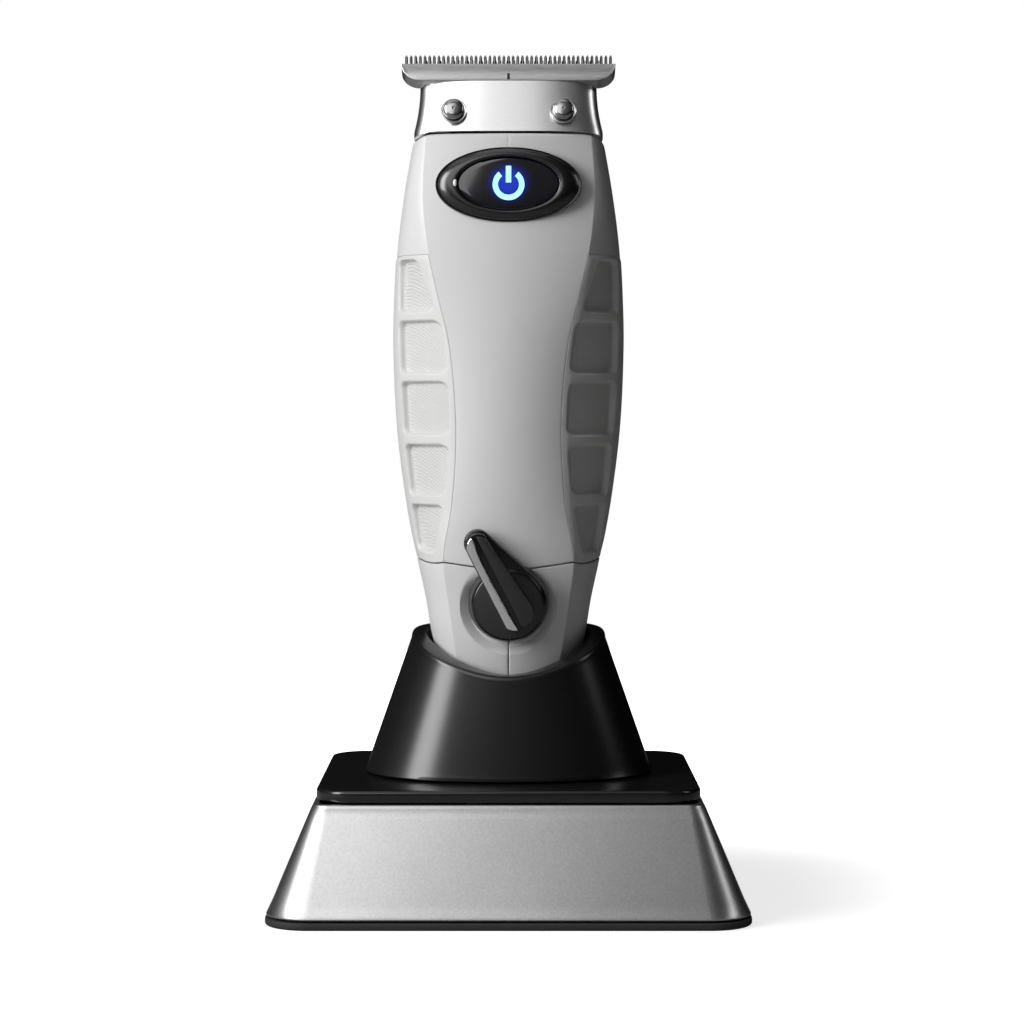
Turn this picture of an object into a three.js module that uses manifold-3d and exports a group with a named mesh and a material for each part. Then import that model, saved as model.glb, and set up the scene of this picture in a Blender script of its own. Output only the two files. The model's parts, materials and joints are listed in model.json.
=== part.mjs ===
// Cordless T-blade body groomer standing in its weighted charging stand.
// Millimetres, +Z up, front towards -Y. The origin is on the table, under the middle of the stand.
import * as THREE from "three";
import { mergeVertices } from "three/addons/utils/BufferGeometryUtils.js";
import Module from "manifold-3d";

const wasm = await Module();
wasm.setup();

// ---------------------------------------------------------------- driving dimensions

const GAP = 0.3; // clearance between neighbouring pieces
const SIDES = [
  ["left", -1],
  ["right", 1],
];

// Charging stand
const STAND_WIDTH = 88;
const STAND_DEPTH = 79;
const STAND_CORNER = 8;
const STAND_TOP_WIDTH = 70.6;
const STAND_TOP_DEPTH = 62;
const STAND_TOP_CORNER = 7.2;
const PAD_TOP = 1.4;
const SHELL_BOTTOM = PAD_TOP + GAP;
const SHELL_TOP = 21.5;
const SHELL_WALL = 1.2;
const TOP_PLATE_BOTTOM = SHELL_TOP + GAP;
const TOP_PLATE_TOP = 24;
const POST_X = 28;
const POST_Y = 22;

// Cradle: an oval cup that narrows upwards, with its rim dipped at the front
const CRADLE_BOTTOM = TOP_PLATE_TOP + GAP;
const CRADLE_BASE_HALF_WIDTH = 27.4;
const CRADLE_BASE_HALF_DEPTH = 21.4;
const CRADLE_RIM_HALF_WIDTH = 17.9;
const CRADLE_RIM_HALF_DEPTH = 17.2;
const CRADLE_RIM_Z = 51.5;
const CRADLE_RIM_DIP = 8.4;
const CRADLE_CLEARANCE = 1.1;
const CONTACT_X = 4;

// Trimmer body
const BODY_BOTTOM = 29;
const BODY_TOP = 144.6;
const CRADLE_FLOOR = BODY_BOTTOM - GAP;
const UPPER_WALL = 3.2; // thick enough to carry the grips in channels
const HEAD_WALL = 2.2;
const LOWER_WALL = 3;
const GRIP_THICKNESS = 1.6;
const GRIP_PROUD = 0.15;
const GRIP_BOTTOM = 65.8;
const GRIP_TOP = 122;
const POCKET_DEPTH = 0.7;
const SEAM_SIDE_Z = 64.9;
const SEAM_CREASE_Z = 64.6;
const SEAM_CENTRE_Z = 62.9;
const FACE_CROWN = 1.9; // how far the creases lie behind the middle of a face
const REAR_SHARE = 0.95; // the back is a little shallower than the front

// height, half width, front depth, half width between the two creases
const BODY_STATIONS = [
  [29, 10.9, 9.8, 6.6],
  [43, 13.3, 12.2, 9.2],
  [52, 15.0, 13.7, 10.6],
  [57, 15.8, 14.4, 11.3],
  [65, 17.5, 15.4, 12.2],
  [76, 19.5, 16.3, 10.5],
  [90, 21.2, 16.9, 9.8],
  [105, 21.85, 17.0, 11.0],
  [115, 21.65, 16.6, 13.3],
  [124, 21.1, 16.0, 15.2],
  [134, 19.8, 15.0, 16.0],
  [145, 17.9, 13.6, 15.4],
];

// Pockets of one grip facet: lower and upper height, inner edge at each, outer edge (shares of the facet)
const POCKETS = [
  [67.6, 75.0, 0.3, 0.14],
  [78.2, 87.8, 0.12, 0.09],
  [90.0, 100.2, 0.08, 0.08],
  [102.2, 111.6, 0.09, 0.14],
  [113.4, 120.4, 0.16, 0.34],
];
const POCKET_OUTER = 0.7;

// Blade set, on a plane that leans back
const BLADE_TILT = THREE.MathUtils.degToRad(15);
const BLADE_FOOT = new THREE.Vector3(0, -13.3, 145.1);
const BLADE_PLATE = 1.4;
const HEAD_HALF_WIDTH = 20;
const HEAD_FOOT = 10.2;
const HEAD_TIP = 15.3;
const HEAD_THICKNESS = 2.2;
const FIXED_PITCH = 0.87;
const FIXED_SLOT = 0.38;
const CUTTER_PITCH = 1.3;
const CUTTER_SLOT = 0.65;
const CUTTER_HALF_WIDTH = 17.9;
const BLADE_SCREW_X = 10.2;
const BLADE_SCREW_HEIGHT = 3.6;
const COVER_INSET = 1.6;

// Drive
const SHAFT_Y = 0.4;
const THROW = 1.1;
const MOTOR_RADIUS = 9.2;
const MOTOR_BOTTOM = 108;
const MOTOR_TOP = 138;
const CRANK_PIN_RADIUS = 0.9;

// Battery and boards
const BATTERY_RADIUS = 9;
const BATTERY_BOTTOM = 72.5;
const BATTERY_TOP = 106;

// Lit button near the blade
const BUTTON_Z = 134.9;
const BUTTON_Y = -14.95;
const BUTTON_TILT = THREE.MathUtils.degToRad(-6);
const BEZEL_HALF = [13.57, 7.03];
const BUTTON_HALF = [9.3, 4.95];

// Rotary switch low on the front
const SWITCH_Z = 57.2;
const SWITCH_Y = -14.45;
const SWITCH_TILT = THREE.MathUtils.degToRad(7.6);
const KNOB_RADIUS = 7.4;
const DISH_RADIUS = 9.3;
const DISH_DEPTH = 1.5;
const LEVER_REACH = 13.1;
const LEVER_TIP_RADIUS = 2.4;
const LEVER_ANGLE = THREE.MathUtils.degToRad(29); // left of straight up

// Housing screws: x, z
const HOUSING_SCREWS = [
  [-8.6, 68.4],
  [8.6, 68.4],
  [-12.4, 126],
  [12.4, 126],
];

// Power inlet in the back of the stand
const INLET_Z = 11;
const INLET_FACE_Y = 36;

// ---------------------------------------------------------------- colours and finishes

function finish(colour, roughness, metalness = 0) {
  return new THREE.MeshStandardMaterial({ color: colour, roughness, metalness });
}

const FINISHES = {
  greyPlastic: finish("#c4c4c2", 0.5),
  blackPlastic: finish("#161616", 0.35),
  glossBlack: finish("#060606", 0.1),
  rubber: finish("#0c0c0c", 0.8),
  brushedSteel: finish("#b9b9b9", 0.3, 1),
  bladeSteel: finish("#d2d2d2", 0.25, 1),
  chrome: finish("#e4e4e4", 0.08, 1),
  castIron: finish("#55575a", 0.6, 1),
  brass: finish("#c9a24a", 0.3, 1),
  board: finish("#1c5a35", 0.6),
  lightGuide: finish("#7db4ff", 0.3),
  nylon: finish("#e8e6df", 0.6),
  cellWrap: finish("#2a62a8", 0.4),
  copperWire: finish("#a02020", 0.5),
};

// ---------------------------------------------------------------- geometry helpers

function solidOf(geometry) {
  const bare = geometry.index ? geometry.toNonIndexed() : geometry.clone();
  for (const name of Object.keys(bare.attributes)) if (name !== "position") bare.deleteAttribute(name);
  const merged = mergeVertices(bare, 1e-4);
  return new wasm.Manifold(
    new wasm.Mesh({
      numProp: 3,
      vertProperties: merged.attributes.position.array,
      triVerts: new Uint32Array(merged.index.array),
    }),
  );
}

function geometryOf(solid) {
  const mesh = solid.getMesh();
  const geometry = new THREE.BufferGeometry()
    .setAttribute("position", new THREE.BufferAttribute(new Float32Array(mesh.vertProperties), 3))
    .setIndex(new THREE.BufferAttribute(mesh.triVerts, 1))
    .toNonIndexed();
  geometry.computeVertexNormals();
  return geometry;
}

function joined(solids) {
  return solids.reduce((all, next) => all.add(next));
}

// A closed skin through rows of points, each counter-clockwise seen from above, from the first row upwards.
function skin(rows) {
  const count = rows[0].length;
  const positions = rows.flat().flatMap((p) => [p.x, p.y, p.z]);
  const index = [];
  for (let r = 0; r + 1 < rows.length; r++) {
    for (let i = 0; i < count; i++) {
      const j = (i + 1) % count;
      const low = r * count;
      const high = low + count;
      index.push(low + i, low + j, high + j, low + i, high + j, high + i);
    }
  }
  const cap = (row) => THREE.ShapeUtils.triangulateShape(row.map((p) => new THREE.Vector2(p.x, p.y)), []);
  for (const [a, b, c] of cap(rows[0])) index.push(a, c, b);
  const last = (rows.length - 1) * count;
  for (const [a, b, c] of cap(rows.at(-1))) index.push(last + a, last + b, last + c);
  return new THREE.BufferGeometry()
    .setAttribute("position", new THREE.Float32BufferAttribute(positions, 3))
    .setIndex(index);
}

function box(width, depth, height, x = 0, y = 0, z = 0) {
  return new THREE.BoxGeometry(width, depth, height).translate(x, y, z);
}

// A box given by its lowest and highest corners.
function span(low, high) {
  const [x, y, z] = low.map((value, i) => (value + high[i]) / 2);
  return box(high[0] - low[0], high[1] - low[1], high[2] - low[2], x, y, z);
}

// A round bar along Z between two heights.
function upright(radius, bottom, top, x = 0, y = 0, sides = 20) {
  return new THREE.CylinderGeometry(radius, radius, top - bottom, sides)
    .rotateX(Math.PI / 2)
    .translate(x, y, (bottom + top) / 2);
}

// A round bar along Y between two depths.
function crosswise(radius, front, back, x = 0, z = 0, sides = 20) {
  const rod = new THREE.CylinderGeometry(radius, radius, back - front, sides);
  return rod.translate(x, (front + back) / 2, z);
}

// An outline drawn in X and Z, as seen from the front, given its depth along Y.
function frontPrism(shape, front, back, curveSegments = 12) {
  return new THREE.ExtrudeGeometry(shape, { depth: back - front, bevelEnabled: false, curveSegments })
    .rotateX(Math.PI / 2)
    .translate(0, back, 0);
}

// An outline drawn in Y and Z, as seen from the side, given its width along X.
function sidePrism(points, left, right) {
  const shape = new THREE.Shape(points.map(([y, z]) => new THREE.Vector2(y, z)));
  const turn = new THREE.Matrix4().makeBasis(
    new THREE.Vector3(0, 1, 0),
    new THREE.Vector3(0, 0, 1),
    new THREE.Vector3(1, 0, 0),
  );
  return new THREE.ExtrudeGeometry(shape, { depth: right - left, bevelEnabled: false })
    .applyMatrix4(turn)
    .translate(left, 0, 0);
}

function ellipse(halfWidth, halfHeight) {
  return new THREE.Shape().absellipse(0, 0, halfWidth, halfHeight, 0, 2 * Math.PI, false, 0);
}

function roundedRow(halfX, halfY, radius, z, steps = 5) {
  const row = [];
  const corners = [
    [halfX - radius, -halfY + radius, -90],
    [halfX - radius, halfY - radius, 0],
    [-halfX + radius, halfY - radius, 90],
    [-halfX + radius, -halfY + radius, 180],
  ];
  for (const [x, y, start] of corners) {
    for (let i = 0; i <= steps; i++) {
      const angle = THREE.MathUtils.degToRad(start + (90 * i) / steps);
      row.push(new THREE.Vector3(x + radius * Math.cos(angle), y + radius * Math.sin(angle), z));
    }
  }
  return row;
}

// A piece turned on its own axis, along Z, from a profile of radius and height.
function turned(profile, sides = 20) {
  const points = profile.map(([radius, height]) => new THREE.Vector2(radius, height));
  return new THREE.LatheGeometry(points, sides).rotateX(Math.PI / 2);
}

function tube(points, radius, steps, sides = 8) {
  const path = new THREE.CatmullRomCurve3(points.map(([x, y, z]) => new THREE.Vector3(x, y, z)));
  const section = new THREE.Shape();
  for (let i = 0; i < sides; i++) {
    const angle = (2 * Math.PI * i) / sides;
    const at = [radius * Math.cos(angle), radius * Math.sin(angle)];
    if (i) section.lineTo(...at);
    else section.moveTo(...at);
  }
  return new THREE.ExtrudeGeometry(section, { steps, extrudePath: path, bevelEnabled: false });
}

// ---------------------------------------------------------------- body form

// A smooth value at a height, through one column of the body stations.
function along(column, z) {
  const last = BODY_STATIONS.length - 1;
  let i = BODY_STATIONS.findIndex((station) => station[0] > z) - 1;
  if (i < 0) i = z < BODY_STATIONS[0][0] ? 0 : last - 1;
  const [a, b] = [BODY_STATIONS[i], BODY_STATIONS[i + 1]];
  const before = BODY_STATIONS[Math.max(i - 1, 0)];
  const after = BODY_STATIONS[Math.min(i + 2, last)];
  const step = b[0] - a[0];
  const slopeIn = ((b[column] - before[column]) / (b[0] - before[0])) * step;
  const slopeOut = ((after[column] - a[column]) / (after[0] - a[0])) * step;
  const t = THREE.MathUtils.clamp((z - a[0]) / step, 0, 1);
  const t2 = t * t;
  const t3 = t2 * t;
  return (
    (2 * t3 - 3 * t2 + 1) * a[column] +
    (t3 - 2 * t2 + t) * slopeIn +
    (3 * t2 - 2 * t3) * b[column] +
    (t3 - t2) * slopeOut
  );
}

function sizesAt(z, inset) {
  return {
    side: along(1, z) - inset,
    front: along(2, z) - inset,
    rear: along(2, z) * REAR_SHARE - inset,
    crease: along(3, z) - 0.45 * inset,
    bulge: facetBulge(z),
  };
}

// How full a facet is between its crease and its side: rounder towards the blade.
function facetBulge(z) {
  return THREE.MathUtils.lerp(0.55, 0.85, THREE.MathUtils.smoothstep(z, 114, 134));
}

// A point of the facet between a crease (share 0) and the widest line of the side (share 1).
function facetPoint(sizes, depth, share) {
  const rest = 1 - share;
  const creaseDepth = depth - FACE_CROWN;
  return {
    x: rest * rest * sizes.crease + (1 - rest * rest) * sizes.side,
    y: creaseDepth * (rest * rest + 2 * share * rest * sizes.bulge),
  };
}

const FACE_STEPS = 2;
const FACET_STEPS = 4;

function quarter(sizes, depth) {
  const points = [];
  for (let i = 0; i < FACE_STEPS; i++) {
    const share = i / FACE_STEPS;
    points.push({ x: sizes.crease * share, y: depth - FACE_CROWN * share * share });
  }
  for (let i = 0; i <= FACET_STEPS; i++) points.push(facetPoint(sizes, depth, i / FACET_STEPS));
  return points;
}

// The body's outline at a height, inset by a wall or offset outwards by a negative one.
function bodyRow(z, inset = 0, height = z) {
  const sizes = sizesAt(z, inset);
  const frontRight = quarter(sizes, sizes.front).map((p) => [p.x, -p.y]);
  const rearRight = quarter(sizes, sizes.rear).map((p) => [p.x, p.y]);
  const right = [...frontRight, ...rearRight.slice(0, -1).reverse()];
  const left = right
    .slice(1, -1)
    .reverse()
    .map(([x, y]) => [-x, y]);
  return [...right, ...left].map(([x, y]) => new THREE.Vector3(x, y, height));
}

function heights(bottom, top, step) {
  const count = Math.max(1, Math.round((top - bottom) / step));
  return Array.from({ length: count + 1 }, (_, i) => bottom + ((top - bottom) * i) / count);
}

function bodySolid(bottom, top, inset, step) {
  return solidOf(skin(heights(bottom, top, step).map((z) => bodyRow(z, inset))));
}

const BODY_ROUNDING = 1.4;

function roundedBody() {
  const rows = [
    bodyRow(BODY_BOTTOM + BODY_ROUNDING, BODY_ROUNDING, BODY_BOTTOM),
    bodyRow(BODY_BOTTOM + BODY_ROUNDING, 0.4, BODY_BOTTOM + 0.5),
    ...heights(BODY_BOTTOM + BODY_ROUNDING, BODY_TOP, 6.4).map((z) => bodyRow(z)),
  ];
  return solidOf(skin(rows));
}

// Everything below the shallow V of the seam between the upper housing and the lower one.
function belowSeam(shift) {
  const crease = along(3, SEAM_CREASE_Z);
  const far = 30;
  const outline = new THREE.Shape(
    [
      [-far, SEAM_SIDE_Z],
      [-crease, SEAM_CREASE_Z],
      [0, SEAM_CENTRE_Z],
      [crease, SEAM_CREASE_Z],
      [far, SEAM_SIDE_Z],
      [far, 0],
      [-far, 0],
    ].map(([x, z]) => new THREE.Vector2(x, z + (z ? shift : 0))),
  );
  return solidOf(frontPrism(outline, -far, far));
}

// The region outside a crease on one side, over the height of the grips.
function gripZone(side, margin) {
  const far = 30;
  const rows = heights(GRIP_BOTTOM - margin, GRIP_TOP + margin, 5).map((z) => {
    const inner = along(3, z) - margin;
    const corners = [
      [inner, -far],
      [far, -far],
      [far, far],
      [inner, far],
    ].map(([x, y]) => new THREE.Vector3(side * x, y, z));
    return side > 0 ? corners : corners.reverse();
  });
  return solidOf(skin(rows));
}

// The cutter for one pocket in a grip facet.
function pocket(side, facing, [bottom, top, innerLow, innerHigh]) {
  const steps = 2;
  const rows = heights(bottom, top, 5).map((z) => {
    const share = (z - bottom) / (top - bottom);
    const inner = innerLow + (innerHigh - innerLow) * share;
    const outline = (inset) => {
      const sizes = sizesAt(z, inset);
      const depth = facing < 0 ? sizes.front : sizes.rear;
      return Array.from({ length: steps + 1 }, (_, i) => {
        const point = facetPoint(sizes, depth, inner + ((POCKET_OUTER - inner) * i) / steps);
        return new THREE.Vector3(side * point.x, facing * point.y, z);
      });
    };
    const ring = [...outline(-1.5), ...outline(POCKET_DEPTH).reverse()];
    return side * facing < 0 ? ring : ring.reverse();
  });
  return solidOf(skin(rows));
}

// ---------------------------------------------------------------- assembly

const object = new THREE.Group();
const stand = new THREE.Group();
const trimmer = new THREE.Group();
const bladeSet = new THREE.Group();
const button = new THREE.Group();
const rotarySwitch = new THREE.Group();
object.add(stand, trimmer);
trimmer.add(bladeSet, button, rotarySwitch);
bladeSet.position.copy(BLADE_FOOT);
bladeSet.rotation.x = -BLADE_TILT;
button.position.set(0, BUTTON_Y, BUTTON_Z);
button.rotation.x = BUTTON_TILT;
rotarySwitch.position.set(0, SWITCH_Y, SWITCH_Z);
rotarySwitch.rotation.x = SWITCH_TILT;

function add(parent, name, shape, material, place = {}) {
  const geometry = shape.isBufferGeometry ? shape : geometryOf(shape);
  const mesh = new THREE.Mesh(geometry, material);
  mesh.name = name;
  mesh.position.set(place.x ?? 0, place.y ?? 0, place.z ?? 0);
  mesh.rotation.set(place.turnX ?? 0, place.turnY ?? 0, place.turnZ ?? 0);
  parent.add(mesh);
  return mesh;
}

function worldSolid(geometry, group) {
  group.updateMatrix();
  return solidOf(geometry.clone().applyMatrix4(group.matrix));
}

// ---------------------------------------------------------------- stand

function standShell() {
  const outer = [
    roundedRow(STAND_WIDTH / 2, STAND_DEPTH / 2, STAND_CORNER, SHELL_BOTTOM),
    roundedRow(STAND_TOP_WIDTH / 2 + 0.4, STAND_TOP_DEPTH / 2 + 0.4, STAND_TOP_CORNER, SHELL_TOP),
  ];
  const inner = outer.map((row, i) =>
    row.map((p) => {
      const reach = Math.hypot(p.x, p.y);
      const shrink = 1 - (SHELL_WALL * 1.1) / reach;
      return new THREE.Vector3(p.x * shrink, p.y * shrink, p.z + (i ? 1 : -1));
    }),
  );
  const hole = solidOf(crosswise(5.3, 20, 50, 0, INLET_Z, 24));
  return solidOf(skin(outer)).subtract(solidOf(skin(inner))).subtract(hole);
}

function baseScrewPlaces() {
  return [-1, 1].flatMap((sx) => [-1, 1].map((sy) => [sx * POST_X, sy * POST_Y]));
}

function topPlate() {
  const halfX = STAND_TOP_WIDTH / 2;
  const halfY = STAND_TOP_DEPTH / 2;
  const chamfer = 0.5;
  const slab = skin([
    roundedRow(halfX, halfY, STAND_TOP_CORNER, TOP_PLATE_BOTTOM),
    roundedRow(halfX, halfY, STAND_TOP_CORNER, TOP_PLATE_TOP - chamfer),
    roundedRow(halfX - chamfer, halfY - chamfer, STAND_TOP_CORNER - chamfer, TOP_PLATE_TOP),
  ]);
  const lipReach = 1.3;
  const lipWall = 1.2;
  const lipRow = (inset, z) => roundedRow(halfX - inset, halfY - inset, STAND_TOP_CORNER - inset, z);
  const lipBlock = (inset, low, high) =>
    solidOf(skin([lipRow(inset, TOP_PLATE_BOTTOM + low), lipRow(inset, TOP_PLATE_BOTTOM + high)]));
  const lip = lipBlock(lipReach, -2, 1).subtract(
    lipBlock(lipReach + lipWall, -3, 0),
  );
  const posts = baseScrewPlaces().map(([x, y]) => solidOf(upright(3, 4.9, 22.5, x, y, 12)));
  const holes = baseScrewPlaces().map(([x, y]) => solidOf(upright(1.5, 4, 14, x, y, 8)));
  const pins = SIDES.map(([, side]) => solidOf(upright(1.5, 15, 30, side * CONTACT_X, 0, 12)));
  return joined([solidOf(slab), lip, ...posts]).subtract(joined([...holes, ...pins]));
}

function rimHeight(angle) {
  const front = (1 - Math.sin(angle)) / 2; // 1 at the front, 0 at the back
  return CRADLE_RIM_Z - CRADLE_RIM_DIP * Math.pow(front, 3.4);
}

// Where a ray from the axis meets a closed row of points.
function reachOf(row, angle) {
  const direction = new THREE.Vector2(Math.cos(angle), Math.sin(angle));
  for (let i = 0; i < row.length; i++) {
    const a = row[i];
    const b = row[(i + 1) % row.length];
    const edge = new THREE.Vector2(b.x - a.x, b.y - a.y);
    const cross = direction.cross(edge);
    if (Math.abs(cross) < 1e-9) continue;
    const distance = (a.x * edge.y - a.y * edge.x) / cross;
    const share = (a.x * direction.y - a.y * direction.x) / cross;
    if (distance > 0 && share >= -1e-9 && share <= 1 + 1e-9) return distance;
  }
  throw new Error("no point of the outline in that direction");
}

function cradle() {
  const count = 40;
  const roundness = 2.3;
  const angles = Array.from({ length: count }, (_, i) => (2 * Math.PI * i) / count);
  const outerPoint = (angle, z) => {
    const share = (z - CRADLE_BOTTOM) / (CRADLE_RIM_Z - CRADLE_BOTTOM);
    const halfX = THREE.MathUtils.lerp(CRADLE_BASE_HALF_WIDTH, CRADLE_RIM_HALF_WIDTH, share);
    const halfY = THREE.MathUtils.lerp(CRADLE_BASE_HALF_DEPTH, CRADLE_RIM_HALF_DEPTH, share);
    const [c, s] = [Math.cos(angle), Math.sin(angle)];
    const sum = Math.abs(c / halfX) ** roundness + Math.abs(s / halfY) ** roundness;
    const reach = sum ** (-1 / roundness);
    return new THREE.Vector3(reach * c, reach * s, z);
  };
  const innerPoint = (angle, z) => {
    const reach = reachOf(bodyRow(z, -CRADLE_CLEARANCE), angle);
    return new THREE.Vector3(reach * Math.cos(angle), reach * Math.sin(angle), z);
  };
  const between = (low, share, angle) => low + (rimHeight(angle) - low) * share;
  const rows = [
    ...[0, 0.35, 0.7, 1].map((share) => angles.map((a) => outerPoint(a, between(CRADLE_BOTTOM, share, a)))),
    ...[1, 0.6, 0.25, 0].map((share) => angles.map((a) => innerPoint(a, between(CRADLE_FLOOR, share, a)))),
  ];
  const pins = SIDES.map(([, side]) => solidOf(upright(1.4, 20, 40, side * CONTACT_X, 0, 12)));
  return solidOf(skin(rows)).subtract(joined(pins));
}

function screwProfile(head, headHeight, shank, length) {
  return [
    [0, 0],
    [shank, 0],
    [shank, length],
    [head, length],
    [head, length + headHeight * 0.55],
    [head * 0.6, length + headHeight],
    [0, length + headHeight],
  ];
}

function contactSpring(bottom, top) {
  const turns = 4;
  const perTurn = 8;
  const radius = 0.95;
  const points = [];
  for (let i = 0; i <= turns * perTurn; i++) {
    const angle = (2 * Math.PI * i) / perTurn;
    const z = bottom + ((top - bottom) * i) / (turns * perTurn);
    points.push([radius * Math.cos(angle), radius * Math.sin(angle), z]);
  }
  return tube(points, 0.22, turns * perTurn, 4);
}

function buildStand() {
  const pad = [
    roundedRow(STAND_WIDTH / 2 - 0.4, STAND_DEPTH / 2 - 0.4, STAND_CORNER, 0),
    roundedRow(STAND_WIDTH / 2 + 0.2, STAND_DEPTH / 2 + 0.2, STAND_CORNER, 0.5),
    roundedRow(STAND_WIDTH / 2 + 0.2, STAND_DEPTH / 2 + 0.2, STAND_CORNER, PAD_TOP),
  ];
  add(stand, "foot_pad", skin(pad), FINISHES.rubber);

  const closing = solidOf(
    skin([
      roundedRow(STAND_WIDTH / 2 - 3.2, STAND_DEPTH / 2 - 3.2, STAND_CORNER - 2, SHELL_BOTTOM),
      roundedRow(STAND_WIDTH / 2 - 4.2, STAND_DEPTH / 2 - 4.2, STAND_CORNER - 2, 4.5),
    ]),
  );
  const screwHoles = baseScrewPlaces().flatMap(([x, y]) => [
    solidOf(upright(1.5, 0, 6, x, y, 12)),
    solidOf(upright(2.9, 0, 3.3, x, y, 12)),
  ]);
  add(stand, "base_plate", closing.subtract(joined(screwHoles)), FINISHES.blackPlastic);
  const screw = turned(screwProfile(2.5, 1, 1.1, 9), 12);
  baseScrewPlaces().forEach(([x, y], i) => {
    add(stand, `base_screw_${i + 1}`, screw, FINISHES.brushedSteel, { x, y, z: 12, turnX: Math.PI });
  });

  add(stand, "ballast_weight", span([-24, -17, 4.9], [24, 17, 9.4]), FINISHES.castIron);
  add(stand, "stand_shell", standShell(), FINISHES.brushedSteel);
  add(stand, "stand_top_plate", topPlate(), FINISHES.blackPlastic);
  add(stand, "cradle_cup", cradle(), FINISHES.blackPlastic);
  add(stand, "charging_board", span([-15, -13, 9.9], [15, 13, 11.3]), FINISHES.board);

  const jack = solidOf(span([-4.6, 20.5, 6.4], [4.6, 32.2, 15.6]));
  const jackBore = solidOf(crosswise(2.9, 24, 40, 0, INLET_Z, 16));
  add(stand, "inlet_jack", jack.subtract(jackBore), FINISHES.blackPlastic);
  add(stand, "inlet_pin", crosswise(1, 24 + GAP, 31, 0, INLET_Z, 12), FINISHES.brass);
  const bezel = solidOf(crosswise(5, 32.5, INLET_FACE_Y, 0, INLET_Z, 24));
  const bore = solidOf(crosswise(3.2, 30, 40, 0, INLET_Z, 24));
  add(stand, "inlet_bezel", bezel.subtract(bore), FINISHES.blackPlastic);

  const blockTop = TOP_PLATE_BOTTOM - GAP;
  const block = solidOf(span([-8, -4, 14.2], [8, 4, blockTop]));
  const wells = SIDES.map(([, side]) => solidOf(upright(1.5, 15.2, 30, side * CONTACT_X, 0, 12)));
  add(stand, "contact_block", block.subtract(joined(wells)), FINISHES.nylon);
  for (const [name, side] of SIDES) {
    const x = side * CONTACT_X;
    const pinBottom = 20.2;
    const pinTop = 29.1;
    const pin = turned(
      [
        [0, pinBottom],
        [1.15, pinBottom],
        [1.15, pinTop - 0.7],
        [0.6, pinTop],
        [0, pinTop],
      ],
      12,
    );
    add(stand, `contact_pin_${name}`, pin, FINISHES.brass, { x });
    add(stand, `contact_spring_${name}`, contactSpring(15.8, pinBottom - 0.6), FINISHES.bladeSteel, { x });
    const route = [
      [x, 1, 13.2],
      [x, 3, 12.7],
      [side * 7, 6, 12.6],
      [side * 9, 8, 12.3],
    ];
    add(stand, `contact_wire_${name}`, tube(route, 0.6, 8, 6), FINISHES.copperWire);
  }
}

// ---------------------------------------------------------------- trimmer housings

const body = roundedBody();

function gripSolid(side) {
  const proud = bodySolid(60, 128, -GRIP_PROUD, 6.8);
  const core = bodySolid(50, 140, GRIP_THICKNESS, 7.5);
  const pockets = POCKETS.flatMap((shape) => [-1, 1].map((facing) => pocket(side, facing, shape)));
  return proud.subtract(core).intersect(gripZone(side, 0)).subtract(joined(pockets));
}

function screwPosts(front, back, radius) {
  return joined(HOUSING_SCREWS.map(([x, z]) => solidOf(crosswise(radius, front, back, x, z, 12))));
}

function dish() {
  const profile = [
    [0, -3],
    [DISH_RADIUS + 2, -3],
    [DISH_RADIUS + 0.35, -0.4],
    [DISH_RADIUS - 1.2, DISH_DEPTH],
    [0, DISH_DEPTH],
  ].map(([radius, depth]) => [radius, -depth]);
  const cutter = turned(profile.reverse(), 32).rotateX(Math.PI / 2);
  return worldSolid(cutter, rotarySwitch);
}

function buttonOpening() {
  return worldSolid(frontPrism(ellipse(BEZEL_HALF[0] - 0.9, BEZEL_HALF[1] - 0.9), -4, 6), button);
}

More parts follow.
